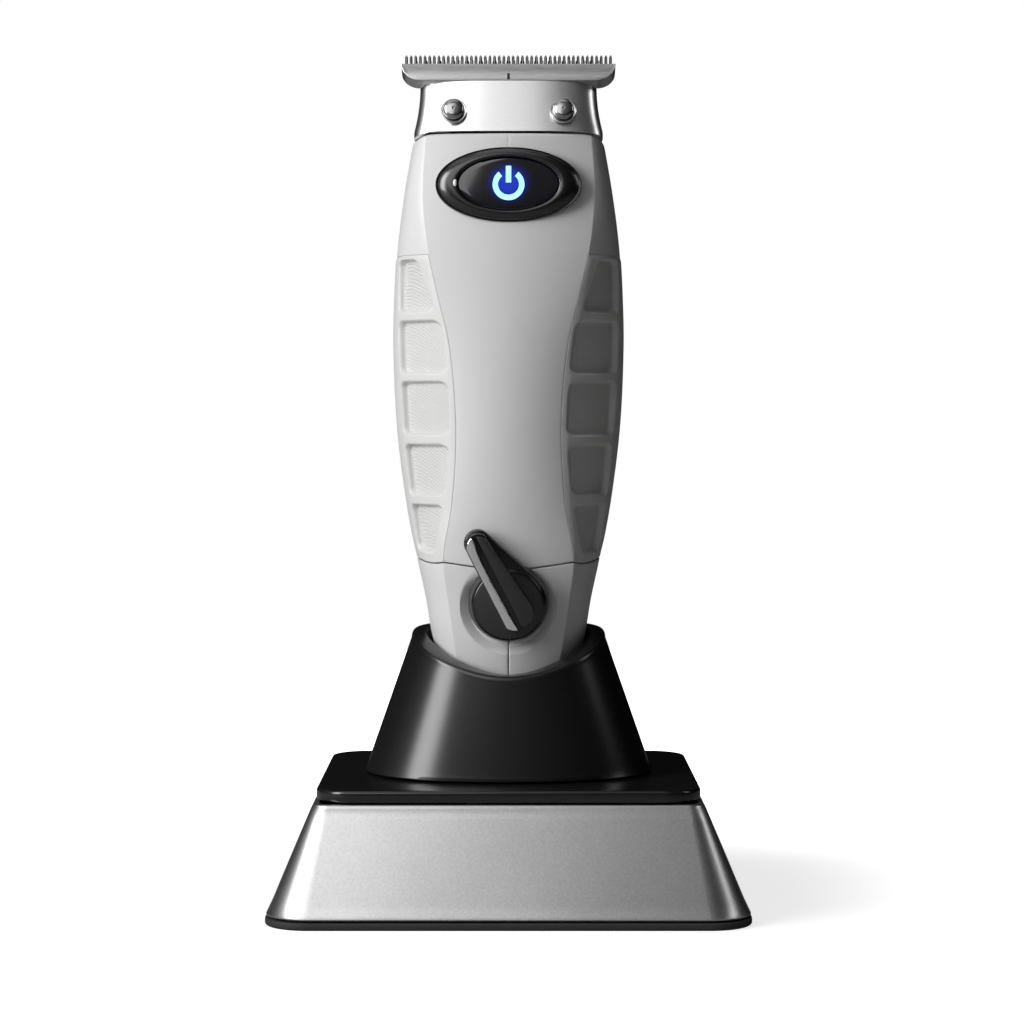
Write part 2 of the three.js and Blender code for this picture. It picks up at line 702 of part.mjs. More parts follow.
function buildHousings() {
  const far = 40;
  const gripChannels = joined(SIDES.map(([, side]) => gripZone(side, GAP)));
  const underGrip = bodySolid(50, 140, GRIP_THICKNESS + GAP, 7.5);
  const channel = gripChannels.subtract(underGrip);
  const upper = body.subtract(belowSeam(GAP / 2)).subtract(channel);
  const hollow = solidOf(
    skin([
      ...heights(60, GRIP_TOP + 2, 9).map((z) => bodyRow(z, UPPER_WALL)),
      ...heights(GRIP_TOP + 4, BODY_TOP + 1, 7).map((z) => bodyRow(z, HEAD_WALL)),
    ]),
  );
  const shell = upper.subtract(hollow);
  const frontHalf = solidOf(span([-far, -far, 0], [far, -GAP / 2, 200]));
  const rearHalf = solidOf(span([-far, GAP / 2, 0], [far, far, 200]));
  const shaftHole = solidOf(crosswise(1.3, -12.2, far, 0, 0, 8));
  const screwHoles = joined(HOUSING_SCREWS.map(([x, z]) => shaftHole.translate([x, 0, z])));
  const counterbores = joined(HOUSING_SCREWS.map(([x, z]) => solidOf(crosswise(2.4, 12.2, far, x, z, 12))));

  const front = shell
    .intersect(frontHalf)
    .add(screwPosts(-12.6, -GAP / 2, 2.4).intersect(upper))
    .subtract(screwHoles)
    .subtract(dish())
    .subtract(buttonOpening());
  add(trimmer, "front_housing", front, FINISHES.greyPlastic);
  const rear = shell
    .intersect(rearHalf)
    .add(screwPosts(GAP / 2, 12.6, 2.4).intersect(upper))
    .subtract(screwHoles)
    .subtract(counterbores);
  add(trimmer, "rear_housing", rear, FINISHES.greyPlastic);
  const screw = turned(screwProfile(2, 1.1, 1, 18), 10);
  HOUSING_SCREWS.forEach(([x, z], i) => {
    const place = { x, y: -5.4, z, turnX: -Math.PI / 2 };
    add(trimmer, `housing_screw_${i + 1}`, screw, FINISHES.bladeSteel, place);
  });
  for (const [name, side] of SIDES) add(trimmer, `grip_${name}`, gripSolid(side), FINISHES.greyPlastic);

  const lower = body
    .intersect(belowSeam(-GAP / 2))
    .subtract(bodySolid(BODY_BOTTOM + 2.6, 70, LOWER_WALL, 8))
    .subtract(dish())
    .subtract(worldSolid(crosswise(2, -2, 12), rotarySwitch));
  const padHoles = joined(SIDES.map(([, side]) => solidOf(upright(2.2, 20, 35, side * CONTACT_X, 0, 16))));
  for (const [name, side] of SIDES) {
    const low = side < 0 ? -far : 0.12;
    const half = solidOf(span([low, -far, 0], [side < 0 ? -0.12 : far, far, 100]));
    add(trimmer, `lower_housing_${name}`, lower.intersect(half).subtract(padHoles), FINISHES.greyPlastic);
    const padTop = BODY_BOTTOM + 1.8;
    const pad = upright(1.9, BODY_BOTTOM + 0.4, padTop, side * CONTACT_X);
    add(trimmer, `charge_pad_${name}`, pad, FINISHES.brass);
  }
}

// ---------------------------------------------------------------- blade set

// The C of formed sheet that carries the blade: front plate with both sides turned back.
function neckRow(z) {
  const foot = BLADE_FOOT;
  const share = Math.min((z - foot.z) / 5, 1);
  const front = foot.y + (z - foot.z) * Math.tan(BLADE_TILT);
  const back = -0.8;
  const wall = BLADE_PLATE / Math.cos(BLADE_TILT);
  const path = (halfWidth, y, radius) => {
    const steps = 4;
    const points = [[-halfWidth, back]];
    for (let i = 0; i <= steps; i++) {
      const angle = THREE.MathUtils.degToRad(180 + (90 * i) / steps);
      points.push([-halfWidth + radius + radius * Math.cos(angle), y + radius + radius * Math.sin(angle)]);
    }
    const mirrored = points.map(([x, yy]) => [-x, yy]).reverse();
    return [...points, ...mirrored];
  };
  const halfWidth = 17.7 - 1.1 * share;
  const inside = path(halfWidth - BLADE_PLATE, front + wall, 2.2).reverse();
  const ring = [...path(halfWidth, front, 3.6), ...inside];
  return ring.map(([x, y]) => new THREE.Vector3(x, y, z));
}

function slots(pitch, width, halfSpan, low, high, front, back) {
  const count = Math.floor(halfSpan / pitch);
  const cuts = [];
  for (let i = -count; i <= count; i++) {
    const x = i * pitch;
    cuts.push(solidOf(span([x - width / 2, front, low], [x + width / 2, back, high])));
  }
  return joined(cuts);
}

function headOutline() {
  const h = HEAD_HALF_WIDTH;
  const shoulder = 16.6;
  return new THREE.Shape()
    .moveTo(-h, HEAD_TIP)
    .lineTo(-h, HEAD_FOOT + 2.6)
    .quadraticCurveTo(-h, HEAD_FOOT + 0.3, -shoulder, HEAD_FOOT - 0.4)
    .lineTo(shoulder, HEAD_FOOT - 0.4)
    .quadraticCurveTo(h, HEAD_FOOT + 0.3, h, HEAD_FOOT + 2.6)
    .lineTo(h, HEAD_TIP);
}

function fixedBlade() {
  const neck = solidOf(skin([145.1, 147, 149, 150.4, 155.6].map(neckRow)));
  const sideCut = solidOf(
    sidePrism(
      [
        [-9.2, 154.6],
        [0.5, 149.6],
        [0.5, 158],
        [-9.2, 158],
      ],
      -30,
      30,
    ),
  );
  const head = solidOf(frontPrism(headOutline(), 0, HEAD_THICKNESS, 6));
  const grind = solidOf(
    sidePrism(
      [
        [-1, HEAD_TIP - 2.4],
        [0, HEAD_TIP - 2.4],
        [1.5, HEAD_TIP + 0.1],
        [-1, HEAD_TIP + 0.1],
      ],
      -30,
      30,
    ),
  );
  const teeth = slots(FIXED_PITCH, FIXED_SLOT, HEAD_HALF_WIDTH - 0.6, HEAD_TIP - 2.1, HEAD_TIP + 1, -1, 4);
  const holes = SIDES.map(([, side]) =>
    solidOf(crosswise(1.35, -2, 6, side * BLADE_SCREW_X, BLADE_SCREW_HEIGHT, 12)),
  );
  const headWithTeeth = head.subtract(grind).subtract(teeth);
  bladeSet.updateMatrix();
  const place = (solid) => solidOf(geometryOf(solid).applyMatrix4(bladeSet.matrix));
  const top = solidOf(span([-30, -30, 155.0], [30, 30, 170]));
  return neck.subtract(sideCut).subtract(top).add(place(headWithTeeth)).subtract(place(joined(holes)));
}

function cutter() {
  const front = HEAD_THICKNESS + GAP;
  const back = front + 1.7;
  const tip = HEAD_TIP - 0.5;
  const outline = new THREE.Shape()
    .moveTo(-CUTTER_HALF_WIDTH, tip)
    .lineTo(-CUTTER_HALF_WIDTH, 12.2)
    .lineTo(-CUTTER_HALF_WIDTH + 1.6, 10.8)
    .lineTo(-7, 10.4)
    .lineTo(-7, 2.6)
    .lineTo(7, 2.6)
    .lineTo(7, 10.4)
    .lineTo(CUTTER_HALF_WIDTH - 1.6, 10.8)
    .lineTo(CUTTER_HALF_WIDTH, 12.2)
    .lineTo(CUTTER_HALF_WIDTH, tip);
  const grind = solidOf(
    sidePrism(
      [
        [back, tip - 2.6],
        [back + 1, tip - 2.6],
        [back + 1, tip + 0.1],
        [front + 0.5, tip + 0.1],
      ],
      -30,
      30,
    ),
  );
  const teethHalf = CUTTER_HALF_WIDTH - 0.8;
  const teeth = slots(CUTTER_PITCH, CUTTER_SLOT, teethHalf, tip - 2.2, tip + 1, front - 1, back + 1);
  return solidOf(frontPrism(outline, front, back)).subtract(grind).subtract(teeth);
}

function tensionSpring() {
  const outline = new THREE.Shape()
    .moveTo(-12.4, 1.6)
    .lineTo(-5.2, 1.6)
    .lineTo(-5.2, 6.6)
    .lineTo(5.2, 6.6)
    .lineTo(5.2, 1.6)
    .lineTo(12.4, 1.6)
    .lineTo(12.4, 5.8)
    .lineTo(9.6, 8.6)
    .lineTo(-9.6, 8.6)
    .lineTo(-12.4, 5.8);
  const holes = SIDES.map(([, side]) =>
    solidOf(crosswise(1.35, 0, 9, side * BLADE_SCREW_X, BLADE_SCREW_HEIGHT, 10)),
  );
  return solidOf(frontPrism(outline, 4.5, 5.1)).subtract(joined(holes));
}

function motorBracket() {
  const base = solidOf(span([-12.4, -9.7, 139], [12.4, 8, 143.2]));
  const posts = SIDES.map(([, side]) =>
    worldSolid(box(3.8, 2.5, 5.8, side * 10.5, 3, 3.5), bladeSet).add(
      solidOf(box(3.8, 1.2, 3, side * 10.5, -9.1, 143.7)),
    ),
  );
  const screwHoles = SIDES.map(([, side]) =>
    worldSolid(crosswise(1.3, -2, 7, side * BLADE_SCREW_X, BLADE_SCREW_HEIGHT, 10), bladeSet),
  );
  const shaftHole = solidOf(upright(1.9, 130, 150, 0, SHAFT_Y, 16));
  return joined([base, ...posts]).subtract(joined([shaftHole, ...screwHoles]));
}

function rearHeadCover() {
  const planRow = (inset) =>
    bodyRow(BODY_TOP, inset, 0).map((p) => new THREE.Vector2(p.x, Math.max(p.y, -0.4)));
  const column = (inset) => {
    const row = planRow(inset).map((p) => new THREE.Vector3(p.x, p.y, 0));
    const lift = (z) => row.map((p) => new THREE.Vector3(p.x, p.y, z));
    return solidOf(skin([lift(BLADE_FOOT.z), lift(156)]));
  };
  const roof = [
    [-4.4, 140],
    [-4.4, 153.2],
    [2.6, 151.9],
    [8, 149.6],
    [11.6, 147],
    [13.6, 140],
  ];
  const under = [
    [-6, 139],
    [-6, 151.9],
    [2.2, 150.4],
    [7.2, 148.2],
    [10.4, 145.9],
    [11.6, 139],
  ];
  const tongue = solidOf(span([-14.6, -4.4, BLADE_FOOT.z], [14.6, 0.6, 156]));
  const tongueHollow = solidOf(span([-13.2, -6, 140], [13.2, 1, 156]));
  const outer = column(COVER_INSET).add(tongue).intersect(solidOf(sidePrism(roof, -30, 30)));
  const inner = column(COVER_INSET + 1.4).add(tongueHollow).intersect(solidOf(sidePrism(under, -30, 30)));
  return outer.subtract(inner.add(solidOf(span([-13.2, -6, 140], [13.2, 6, 148]))));
}

function driveYoke() {
  const block = solidOf(
    sidePrism(
      [
        [-8.2, 145.9],
        [3, 145.9],
        [3, 149.1],
        [-7.4, 149.1],
      ],
      -3.6,
      3.6,
    ),
  );
  const forkHalf = CRANK_PIN_RADIUS + 0.4;
  const fork = solidOf(span([-forkHalf, SHAFT_Y - 2.6, 140], [forkHalf, 10, 160]));
  return block.subtract(fork);
}

function buildBladeSet() {
  add(trimmer, "fixed_blade", fixedBlade(), FINISHES.bladeSteel);
  add(bladeSet, "moving_blade", cutter(), FINISHES.bladeSteel);
  add(bladeSet, "blade_tension_spring", tensionSpring(), FINISHES.chrome);
  const screw = turned(screwProfile(1.95, 1.4, 1, 6), 16);
  const washer = solidOf(crosswise(2.4, -0.72, -0.3)).subtract(solidOf(crosswise(1.3, -2, 2)));
  for (const [name, side] of SIDES) {
    const place = { x: side * BLADE_SCREW_X, z: BLADE_SCREW_HEIGHT };
    const screwPlace = { ...place, y: 5, turnX: Math.PI / 2 };
    add(bladeSet, `blade_screw_${name}`, screw, FINISHES.bladeSteel, screwPlace);
    add(bladeSet, `blade_washer_${name}`, washer, FINISHES.chrome, place);
  }
  add(trimmer, "rear_head_cover", rearHeadCover(), FINISHES.greyPlastic);
}

// ---------------------------------------------------------------- drive, battery and boards

function buildDrive() {
  add(trimmer, "motor_bracket", motorBracket(), FINISHES.blackPlastic);
  const can = solidOf(upright(MOTOR_RADIUS, MOTOR_BOTTOM, MOTOR_TOP, 0, SHAFT_Y, 28));
  const bearing = solidOf(upright(1.35, MOTOR_TOP - 8, MOTOR_TOP + 5, 0, SHAFT_Y, 12));
  add(trimmer, "motor_case", can.subtract(bearing), FINISHES.brushedSteel);
  add(trimmer, "motor_shaft", upright(1, MOTOR_TOP - 7.6, 143.3, 0, SHAFT_Y, 12), FINISHES.chrome);
  const hub = solidOf(upright(2.6, 143.6, 145.3, 0, SHAFT_Y, 20));
  const pin = solidOf(upright(CRANK_PIN_RADIUS, 145, 148.8, 0, SHAFT_Y - THROW, 12));
  add(trimmer, "eccentric_crank", hub.add(pin), FINISHES.brass);
  add(trimmer, "drive_yoke", driveYoke(), FINISHES.nylon);
}

function buildElectrics() {
  const cell = turned(
    [
      [0, BATTERY_BOTTOM],
      [BATTERY_RADIUS, BATTERY_BOTTOM],
      [BATTERY_RADIUS, BATTERY_TOP - 1.5],
      [3, BATTERY_TOP - 1.5],
      [3, BATTERY_TOP],
      [0, BATTERY_TOP],
    ],
    28,
  );
  add(trimmer, "battery_cell", cell, FINISHES.cellWrap);
  const sleeve = solidOf(upright(BATTERY_RADIUS + 1.3, BATTERY_BOTTOM - 0.6, BATTERY_TOP - 4, 0, 0, 28));
  const bore = solidOf(upright(BATTERY_RADIUS + 0.35, BATTERY_BOTTOM - 2, BATTERY_TOP, 0, 0, 28));
  const openFront = solidOf(span([-20, -20, 50], [20, -1.5, 120]));
  add(trimmer, "battery_holder", sleeve.subtract(bore).subtract(openFront), FINISHES.nylon);
  add(trimmer, "main_board", span([-4.2, 10.6, BATTERY_BOTTOM + 5], [4.2, 11.4, 104]), FINISHES.board);
}

// ---------------------------------------------------------------- lit button

function buildButton() {
  const outer = ellipse(BEZEL_HALF[0], BEZEL_HALF[1]);
  outer.holes.push(ellipse(BUTTON_HALF[0] + GAP, BUTTON_HALF[1] + GAP));
  const skirt = ellipse(BEZEL_HALF[0] - 1.2, BEZEL_HALF[1] - 1.2);
  skirt.holes.push(ellipse(BUTTON_HALF[0] + GAP, BUTTON_HALF[1] + GAP));
  const ring = solidOf(frontPrism(outer, -0.75, -0.3)).add(solidOf(frontPrism(skirt, -0.4, 1.8)));
  add(button, "button_bezel", ring, FINISHES.glossBlack);
  const cap = solidOf(frontPrism(ellipse(BUTTON_HALF[0], BUTTON_HALF[1]), -0.5, 1.2));
  add(button, "power_button", cap, FINISHES.glossBlack);
  const plunger = solidOf(crosswise(1.1, 2, 2.8, 0, 0, 12));
  const guide = solidOf(frontPrism(ellipse(4.6, 3.4), 1.5, 2.1)).add(plunger);
  add(button, "light_guide", guide, FINISHES.lightGuide);
  add(button, "tact_switch", span([-2, 3.45, -2], [2, 4.15, 2]), FINISHES.blackPlastic);
  add(button, "status_led", span([4.8, 3.3, -0.8], [6.4, 4.1, 0.8]), FINISHES.lightGuide);
  add(button, "button_board", span([-8.4, 4.45, -4.2], [8.4, 5.3, 4.2]), FINISHES.board);
}

// ---------------------------------------------------------------- rotary switch

// The teardrop plate under the lever: the round of the knob drawn out to the lever's tip.
function teardrop(scale) {
  const reach = LEVER_REACH;
  const [big, small] = [KNOB_RADIUS * scale, LEVER_TIP_RADIUS * scale];
  const lean = Math.asin((big - small) / reach);
  return new THREE.Shape()
    .absarc(0, reach, small, lean, Math.PI - lean, false)
    .absarc(0, 0, big, Math.PI - lean, 2 * Math.PI + lean, false);
}

function buildSwitch() {
  const towardsLever = { turnY: -LEVER_ANGLE };
  const drum = solidOf(crosswise(KNOB_RADIUS, -1.6, DISH_DEPTH - GAP, 0, 0, 32));
  const plate = solidOf(frontPrism(teardrop(1), -2.1, -1.1, 14));
  const ridge = new THREE.Shape()
    .moveTo(-0.6, -4.6)
    .lineTo(1.9, -3.4)
    .lineTo(2.3, 0)
    .lineTo(1.6, LEVER_REACH)
    .absarc(0, LEVER_REACH, 1.7, 0.2, Math.PI / 2 + 0.3, false)
    .lineTo(-0.6, LEVER_REACH + 1);
  const lever = solidOf(frontPrism(ridge, -4.9, -1.6, 5));
  add(rotarySwitch, "switch_knob", joined([drum, plate, lever]), FINISHES.glossBlack, towardsLever);
  const trim = new THREE.Shape()
    .moveTo(-2.2, -3.2)
    .lineTo(-0.9, -4.6)
    .lineTo(-0.9, LEVER_REACH + 0.9)
    .lineTo(-2.2, LEVER_REACH);
  add(rotarySwitch, "lever_trim", frontPrism(trim, -4.7, -2.1 - GAP), FINISHES.chrome, towardsLever);
  add(rotarySwitch, "switch_shaft", crosswise(1.6, DISH_DEPTH, 6.2, 0, 0, 16), FINISHES.chrome);
  const base = solidOf(crosswise(5.2, 3.9, 10, 0, 0, 24));
  const shaftHole = solidOf(crosswise(1.95, 0, 6.6));
  add(rotarySwitch, "rotary_switch_body", base.subtract(shaftHole), FINISHES.blackPlastic);
}

buildStand();
buildHousings();
buildBladeSet();
buildDrive();
buildElectrics();
buildButton();
buildSwitch();

export default object;
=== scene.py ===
import functools
import json
import math

import bmesh
import bpy
from mathutils import Matrix, Vector


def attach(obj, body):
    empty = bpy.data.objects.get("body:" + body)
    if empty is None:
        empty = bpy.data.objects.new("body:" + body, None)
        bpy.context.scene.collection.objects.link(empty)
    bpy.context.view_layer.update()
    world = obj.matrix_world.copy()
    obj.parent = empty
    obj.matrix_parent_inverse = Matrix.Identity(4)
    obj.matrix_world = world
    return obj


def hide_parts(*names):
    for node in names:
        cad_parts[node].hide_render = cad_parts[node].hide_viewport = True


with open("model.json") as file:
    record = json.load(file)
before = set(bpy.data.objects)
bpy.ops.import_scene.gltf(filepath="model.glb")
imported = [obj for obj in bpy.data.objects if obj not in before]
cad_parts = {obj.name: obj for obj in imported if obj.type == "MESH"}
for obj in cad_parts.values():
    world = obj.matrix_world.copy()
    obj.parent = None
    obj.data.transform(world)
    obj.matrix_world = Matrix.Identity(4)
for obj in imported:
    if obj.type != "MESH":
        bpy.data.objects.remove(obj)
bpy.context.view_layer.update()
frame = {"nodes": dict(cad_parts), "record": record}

# ---- sizes, in millimetres

MM = 0.001
GAP = 0.3
LEFT, RIGHT = -1, 1
SIDES = (("left", LEFT), ("right", RIGHT))

# Body: height, half width, front depth, half width between the two creases
BODY_STATIONS = (
    (29, 10.9, 9.8, 6.6),
    (43, 13.3, 12.2, 9.2),
    (52, 15.0, 13.7, 10.6),
    (57, 15.8, 14.4, 11.3),
    (65, 17.5, 15.4, 12.2),
    (76, 19.5, 16.3, 10.5),
    (90, 21.2, 16.9, 9.8),
    (105, 21.85, 17.0, 11.0),
    (115, 21.65, 16.6, 13.3),
    (124, 21.1, 16.0, 15.2),
    (134, 19.8, 15.0, 16.0),
    (145, 17.9, 13.6, 15.4),
)
FACE_CROWN = 1.9
REAR_SHARE = 0.95
BODY_BOTTOM = 29
BODY_TOP = 144.6
HOUSING_WALL = 1.6
GRIP_TOP = 122
GRIP_PROUD = 0.15
POCKET_DEPTH = 0.7
POCKET_DEEPER = 0.6  # added depth at a pocket's outer side
POCKET_WALL = 0.45
FACET_LENGTH = 16  # about how far a side facet runs from its crease to the widest line
SEAM_SIDE_Z = 64.9
SEAM_CREASE_Z = 64.6
SEAM_CENTRE_Z = 62.9
SEAM_DIP = 0.45
SEAM_HALF_WIDTH = 17.4
SEAM_GAP = 0.09
SEAM_SETTLE = 7  # height over which rows of cells bend to follow the seam
SEAM_EDGE = 0.2  # rounding of the edges along a seam
GRIP_GAP = 0.02
GRIP_BOTTOM = SEAM_SIDE_Z + SEAM_GAP
GRIP_WALL = 1.3
LOWER_EDGE = 1.4  # rounding of the trimmer's foot
CORNER_DROP = 2.0
CORNER_START = 13.2
CORNER_LENGTH = 4.9
NORMAL_REACH = 0.05  # softens the offset direction across a crease
HOUSING_SCREWS = ((-8.6, 68.4), (8.6, 68.4), (-12.4, 126), (12.4, 126))
SCREW_WELL_DEPTH = 2.3
SCREW_WELL_RADII = (2.1, 2.5)

# Pockets of a grip facet: lower and upper height, inner edge at each (shares of the facet)
POCKETS = (
    (66.6, 75.4, 0.15, 0.085),
    (76.9, 86.7, 0.078, 0.052),
    (88.3, 98.5, 0.043, 0.043),
    (99.8, 109.9, 0.04, 0.036),
    (111.3, 121.3, 0.056, 0.185),
)
POCKET_OUTER = 0.66

# Stand
STAND_HALF = (44, 39.5)
STAND_CORNER = 8
STAND_TOP_HALF = (35.7, 31.4)
PLATE_HALF = (35.3, 31)
PLATE_CORNER = 7.2
PAD_TOP = 1.4
PAD_PROUD = 0.2
SHELL_BOTTOM = 1.7
SHELL_TOP = 21.5
PLATE_BOTTOM = 21.8
PLATE_TOP = 24
CRADLE_BOTTOM = 24.3
CRADLE_FLOOR = 28.7
CRADLE_BASE_HALF = (27.4, 21.4)
CRADLE_RIM_HALF = (17.9, 17.2)
CRADLE_RIM_Z = 51.5
CRADLE_RIM_DIP = 7.8
CRADLE_ROUNDNESS = 2.3
CRADLE_CLEARANCE = 1.1
RIM_SQUARENESS = 0.5

# Blade set, on a plane that leans back
BLADE_TILT = math.radians(15)
BLADE_FOOT = Vector((0, -13.3, 145.1))
BLADE_PLATE = 1.4
NECK_HALF_WIDTH = 17.7
NECK_TAPER = 1.1
NECK_TAPER_HEIGHT = 8.5
NECK_BACK = -0.8
NECK_WRAP = 6.0
NECK_SQUARENESS = 0.52
CHEEK_TOP = 154.6  # upper edge of the neck, which slopes down along its sides from CHEEK_FRONT
CHEEK_FRONT = -9.2
CHEEK_SLOPE = 0.515
COVER_HALF_WIDTH = 16.3
COVER_FRONT = -4.4
COVER_BACK = 12.0
COVER_FOOT = 145.1
COVER_LOWEST = 144.85
COVER_INSET = 0.9
COVER_ROUNDNESS = 0.32
HEAD_HALF_WIDTH = 20
HEAD_FOOT = 9.8
HEAD_ROOT = 13.2
HEAD_TIP = 15.07
HEAD_THICKNESS = 2.2
EAR_START = 16.0
EAR_SWEEP = 3.1
EAR_SLOPE = 0.8  # how much lower an ear is at its back than in front
FIXED_PITCH = 0.87
CUTTER_PITCH = 1.3
CUTTER_HALF_WIDTH = 17.9
BLADE_SCREW_X = 10.2
BLADE_SCREW_HEIGHT = 3.6

# Lit button and rotary switch
BUTTON_CENTRE = Vector((0, -14.95, 134.9))
BUTTON_TILT = math.radians(-6)
BEZEL_HALF = (13.57, 7.03)
BUTTON_HALF = (9.3, 4.95)
BUTTON_RISE = 0.4  # how far the lens stands forward of the bezel's plane
SWITCH_CENTRE = Vector((0, -14.45, 57.2))
SWITCH_TILT = math.radians(7.6)
KNOB_RADIUS = 7.4
DISH_RADIUS = 9.15
DISH_DEPTH = 1.25
DISH_WALL = 1.55
DISH_CENTRE_Z = 56.45
DISH_FADE = (59.0, 64.0)
RING_PULL = 0.16
LEVER_REACH = 12.9
LEVER_TIP_RADIUS = 2.55
LEVER_ANGLE = math.radians(26.4)


# ---- making meshes


def spread(start, end, count):
    """Evenly spaced values from start to end, both included."""
    return [start + (end - start) * i / count for i in range(count + 1)]


def ruled(stops, step, fine):
    """Lines from the first stop to the last, packed close beside each stop."""
    lines = []
    for low, high in zip(stops, stops[1:]):
        inner_low, inner_high = low + fine[-1], high - fine[-1]
        count = max(1, round((inner_high - inner_low) / step))
        lines += [low] + [low + f for f in fine[:-1]]
        lines += spread(inner_low, inner_high, count)
        lines += [high - f for f in reversed(fine[:-1])]
    return lines + [stops[-1]]


def lattice(us, vs, place, skip=None):
    """A sheet of cells whose corners are set by place(u, v)."""
    bm = bmesh.new()
    columns, rows = len(us) - 1, len(vs) - 1
    bmesh.ops.create_grid(bm, x_segments=columns, y_segments=rows, size=1)
    if skip:
        unwanted = []
        for face in bm.faces:
            centre = face.calc_center_median()
            i = int((centre.x + 1) / 2 * columns)
            j = int((centre.y + 1) / 2 * rows)
            if skip((us[i] + us[i + 1]) / 2, (vs[j] + vs[j + 1]) / 2):
                unwanted.append(face)
        bmesh.ops.delete(bm, geom=unwanted, context="FACES")
    for vert in bm.verts:
        i = round((vert.co.x + 1) / 2 * columns)
        j = round((vert.co.y + 1) / 2 * rows)
        vert.co = place(us[i], vs[j])
    return bm


def right_way_out(sheet, side):
    """A sheet laid out for the right side, with its faces turned round where it is for the left."""
    if side < 0:
        bmesh.ops.reverse_faces(sheet, faces=sheet.faces[:])
    return sheet


def welded(bm):
    """The mesh with points that fall together made one."""
    bmesh.ops.remove_doubles(bm, verts=bm.verts[:], dist=0.0008)
    bmesh.ops.dissolve_degenerate(bm, edges=bm.edges[:], dist=0.0001)
    return bm


def thickened(bm, wall):
    """An open sheet, facing out, given a wall behind it."""
    bm.normal_update()
    normals = {v.co.copy().freeze(): v.normal.copy() for v in bm.verts}
    grown = bmesh.ops.extrude_face_region(bm, geom=bm.faces[:], use_keep_orig=True)["geom"]
    for vert in [g for g in grown if isinstance(g, bmesh.types.BMVert)]:
        vert.co -= normals[vert.co.copy().freeze()] * wall
    bmesh.ops.recalc_face_normals(bm, faces=bm.faces[:])
    return bm


def outwards(bm):
    """Any open end filled, and every face turned to look out."""
    ends = [edge for edge in bm.edges if edge.is_boundary]
    if ends:
        bmesh.ops.holes_fill(bm, edges=ends)
    bmesh.ops.recalc_face_normals(bm, faces=bm.faces[:])
    return bm


def last_holding(test, low, high, rounds):
    """The highest value at which the test still holds, found by halving."""
    for _ in range(rounds):
        middle = (low + high) / 2
        if test(middle):
            low = middle
        else:
            high = middle
    return low


def turned(profile, sides=48):
    """A closed piece turned about Z from points of radius and height."""

    def place(angle, i):
        radius, height = profile[int(i)]
        return Vector((radius * math.cos(angle), radius * math.sin(angle), height))

    return welded(lattice(spread(0, 2 * math.pi, sides), range(len(profile)), place))


def slab(outline, front, back, edge, segments=3):
    """An outline in X and Z given depth along Y, with its front edges rounded."""
    bm = bmesh.new()
    face = bm.faces.new([bm.verts.new((x, back, z)) for x, z in outline])
    bmesh.ops.recalc_face_normals(bm, faces=[face])
    grown = bmesh.ops.extrude_face_region(bm, geom=[face])["geom"]
    verts = [g for g in grown if isinstance(g, bmesh.types.BMVert)]
    bmesh.ops.translate(bm, verts=verts, vec=(0, front - back, 0))
    bmesh.ops.recalc_face_normals(bm, faces=bm.faces[:])
    rim = [e for e in bm.edges if all(abs(v.co.y - front) < 1e-6 for v in e.verts)]
    if edge:
        bmesh.ops.bevel(
            bm, geom=rim, offset=edge, affect="EDGES", segments=segments,
            profile=0.5, material=-1, clamp_overlap=True,
        )
    return bm


def moved(bm, matrix):
    """The mesh carried to its place."""
    bmesh.ops.transform(bm, matrix=matrix, verts=bm.verts[:])
    return bm


def joined(*parts):
    """Several meshes as one, without cutting them into each other."""
    whole = bmesh.new()
    for part in parts:
        mesh = bpy.data.meshes.new("part")
        part.to_mesh(mesh)
        whole.from_mesh(mesh)
        bpy.data.meshes.remove(mesh)
        part.free()
    return whole


def along_front():
    """Turns a piece made about Z so that its top faces the front."""
    return Matrix.Rotation(math.pi / 2, 4, "X")


BLADE_PLACE = Matrix.Translation(BLADE_FOOT) @ Matrix.Rotation(-BLADE_TILT, 4, "X")
BUTTON_PLACE = Matrix.Translation(BUTTON_CENTRE) @ Matrix.Rotation(BUTTON_TILT, 4, "X")
SWITCH_PLACE = Matrix.Translation(SWITCH_CENTRE) @ Matrix.Rotation(SWITCH_TILT, 4, "X")
LEVER_PLACE = SWITCH_PLACE @ Matrix.Rotation(-LEVER_ANGLE, 4, "Y")


def set_out(name, data):
    """A new object in the scene."""
    made = bpy.data.objects.new(name, data)
    bpy.context.scene.collection.objects.link(made)
    return made


def piece(name, bm, body, slot, replaces=(), finish=None, sharp=38.0):
    """The mesh as a named piece on its body, in its slot's finish unless another is given."""
    bmesh.ops.scale(bm, vec=(MM, MM, MM), verts=bm.verts[:])
    mesh = bpy.data.meshes.new(name)
    bm.to_mesh(mesh)
    bm.free()
    mesh.shade_smooth()
    mesh.set_sharp_from_angle(angle=math.radians(sharp))
    mesh.materials.append(FINISHES[finish or slot])
    made = set_out(name, mesh)
    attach(made, body)
    if replaces:
        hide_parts(*replaces)
    return made


# ---- finishes


def node_maths(operation, swapped=False):
    """An operator for Value that adds a Math node."""

    def combine(value, other):
        terms = (other, value) if swapped else (value, other)
        return value.builder.make("ShaderNodeMath", {"operation": operation}, dict(enumerate(terms)))

    return combine


class Value:
    """A node's output, with arithmetic that adds Math nodes."""

    def __init__(self, builder, socket):
        self.builder, self.socket = builder, socket

    __add__, __radd__ = node_maths("ADD"), node_maths("ADD", swapped=True)
    __sub__, __rsub__ = node_maths("SUBTRACT"), node_maths("SUBTRACT", swapped=True)
    __mul__, __rmul__ = node_maths("MULTIPLY"), node_maths("MULTIPLY", swapped=True)
    __truediv__, __pow__ = node_maths("DIVIDE"), node_maths("POWER")


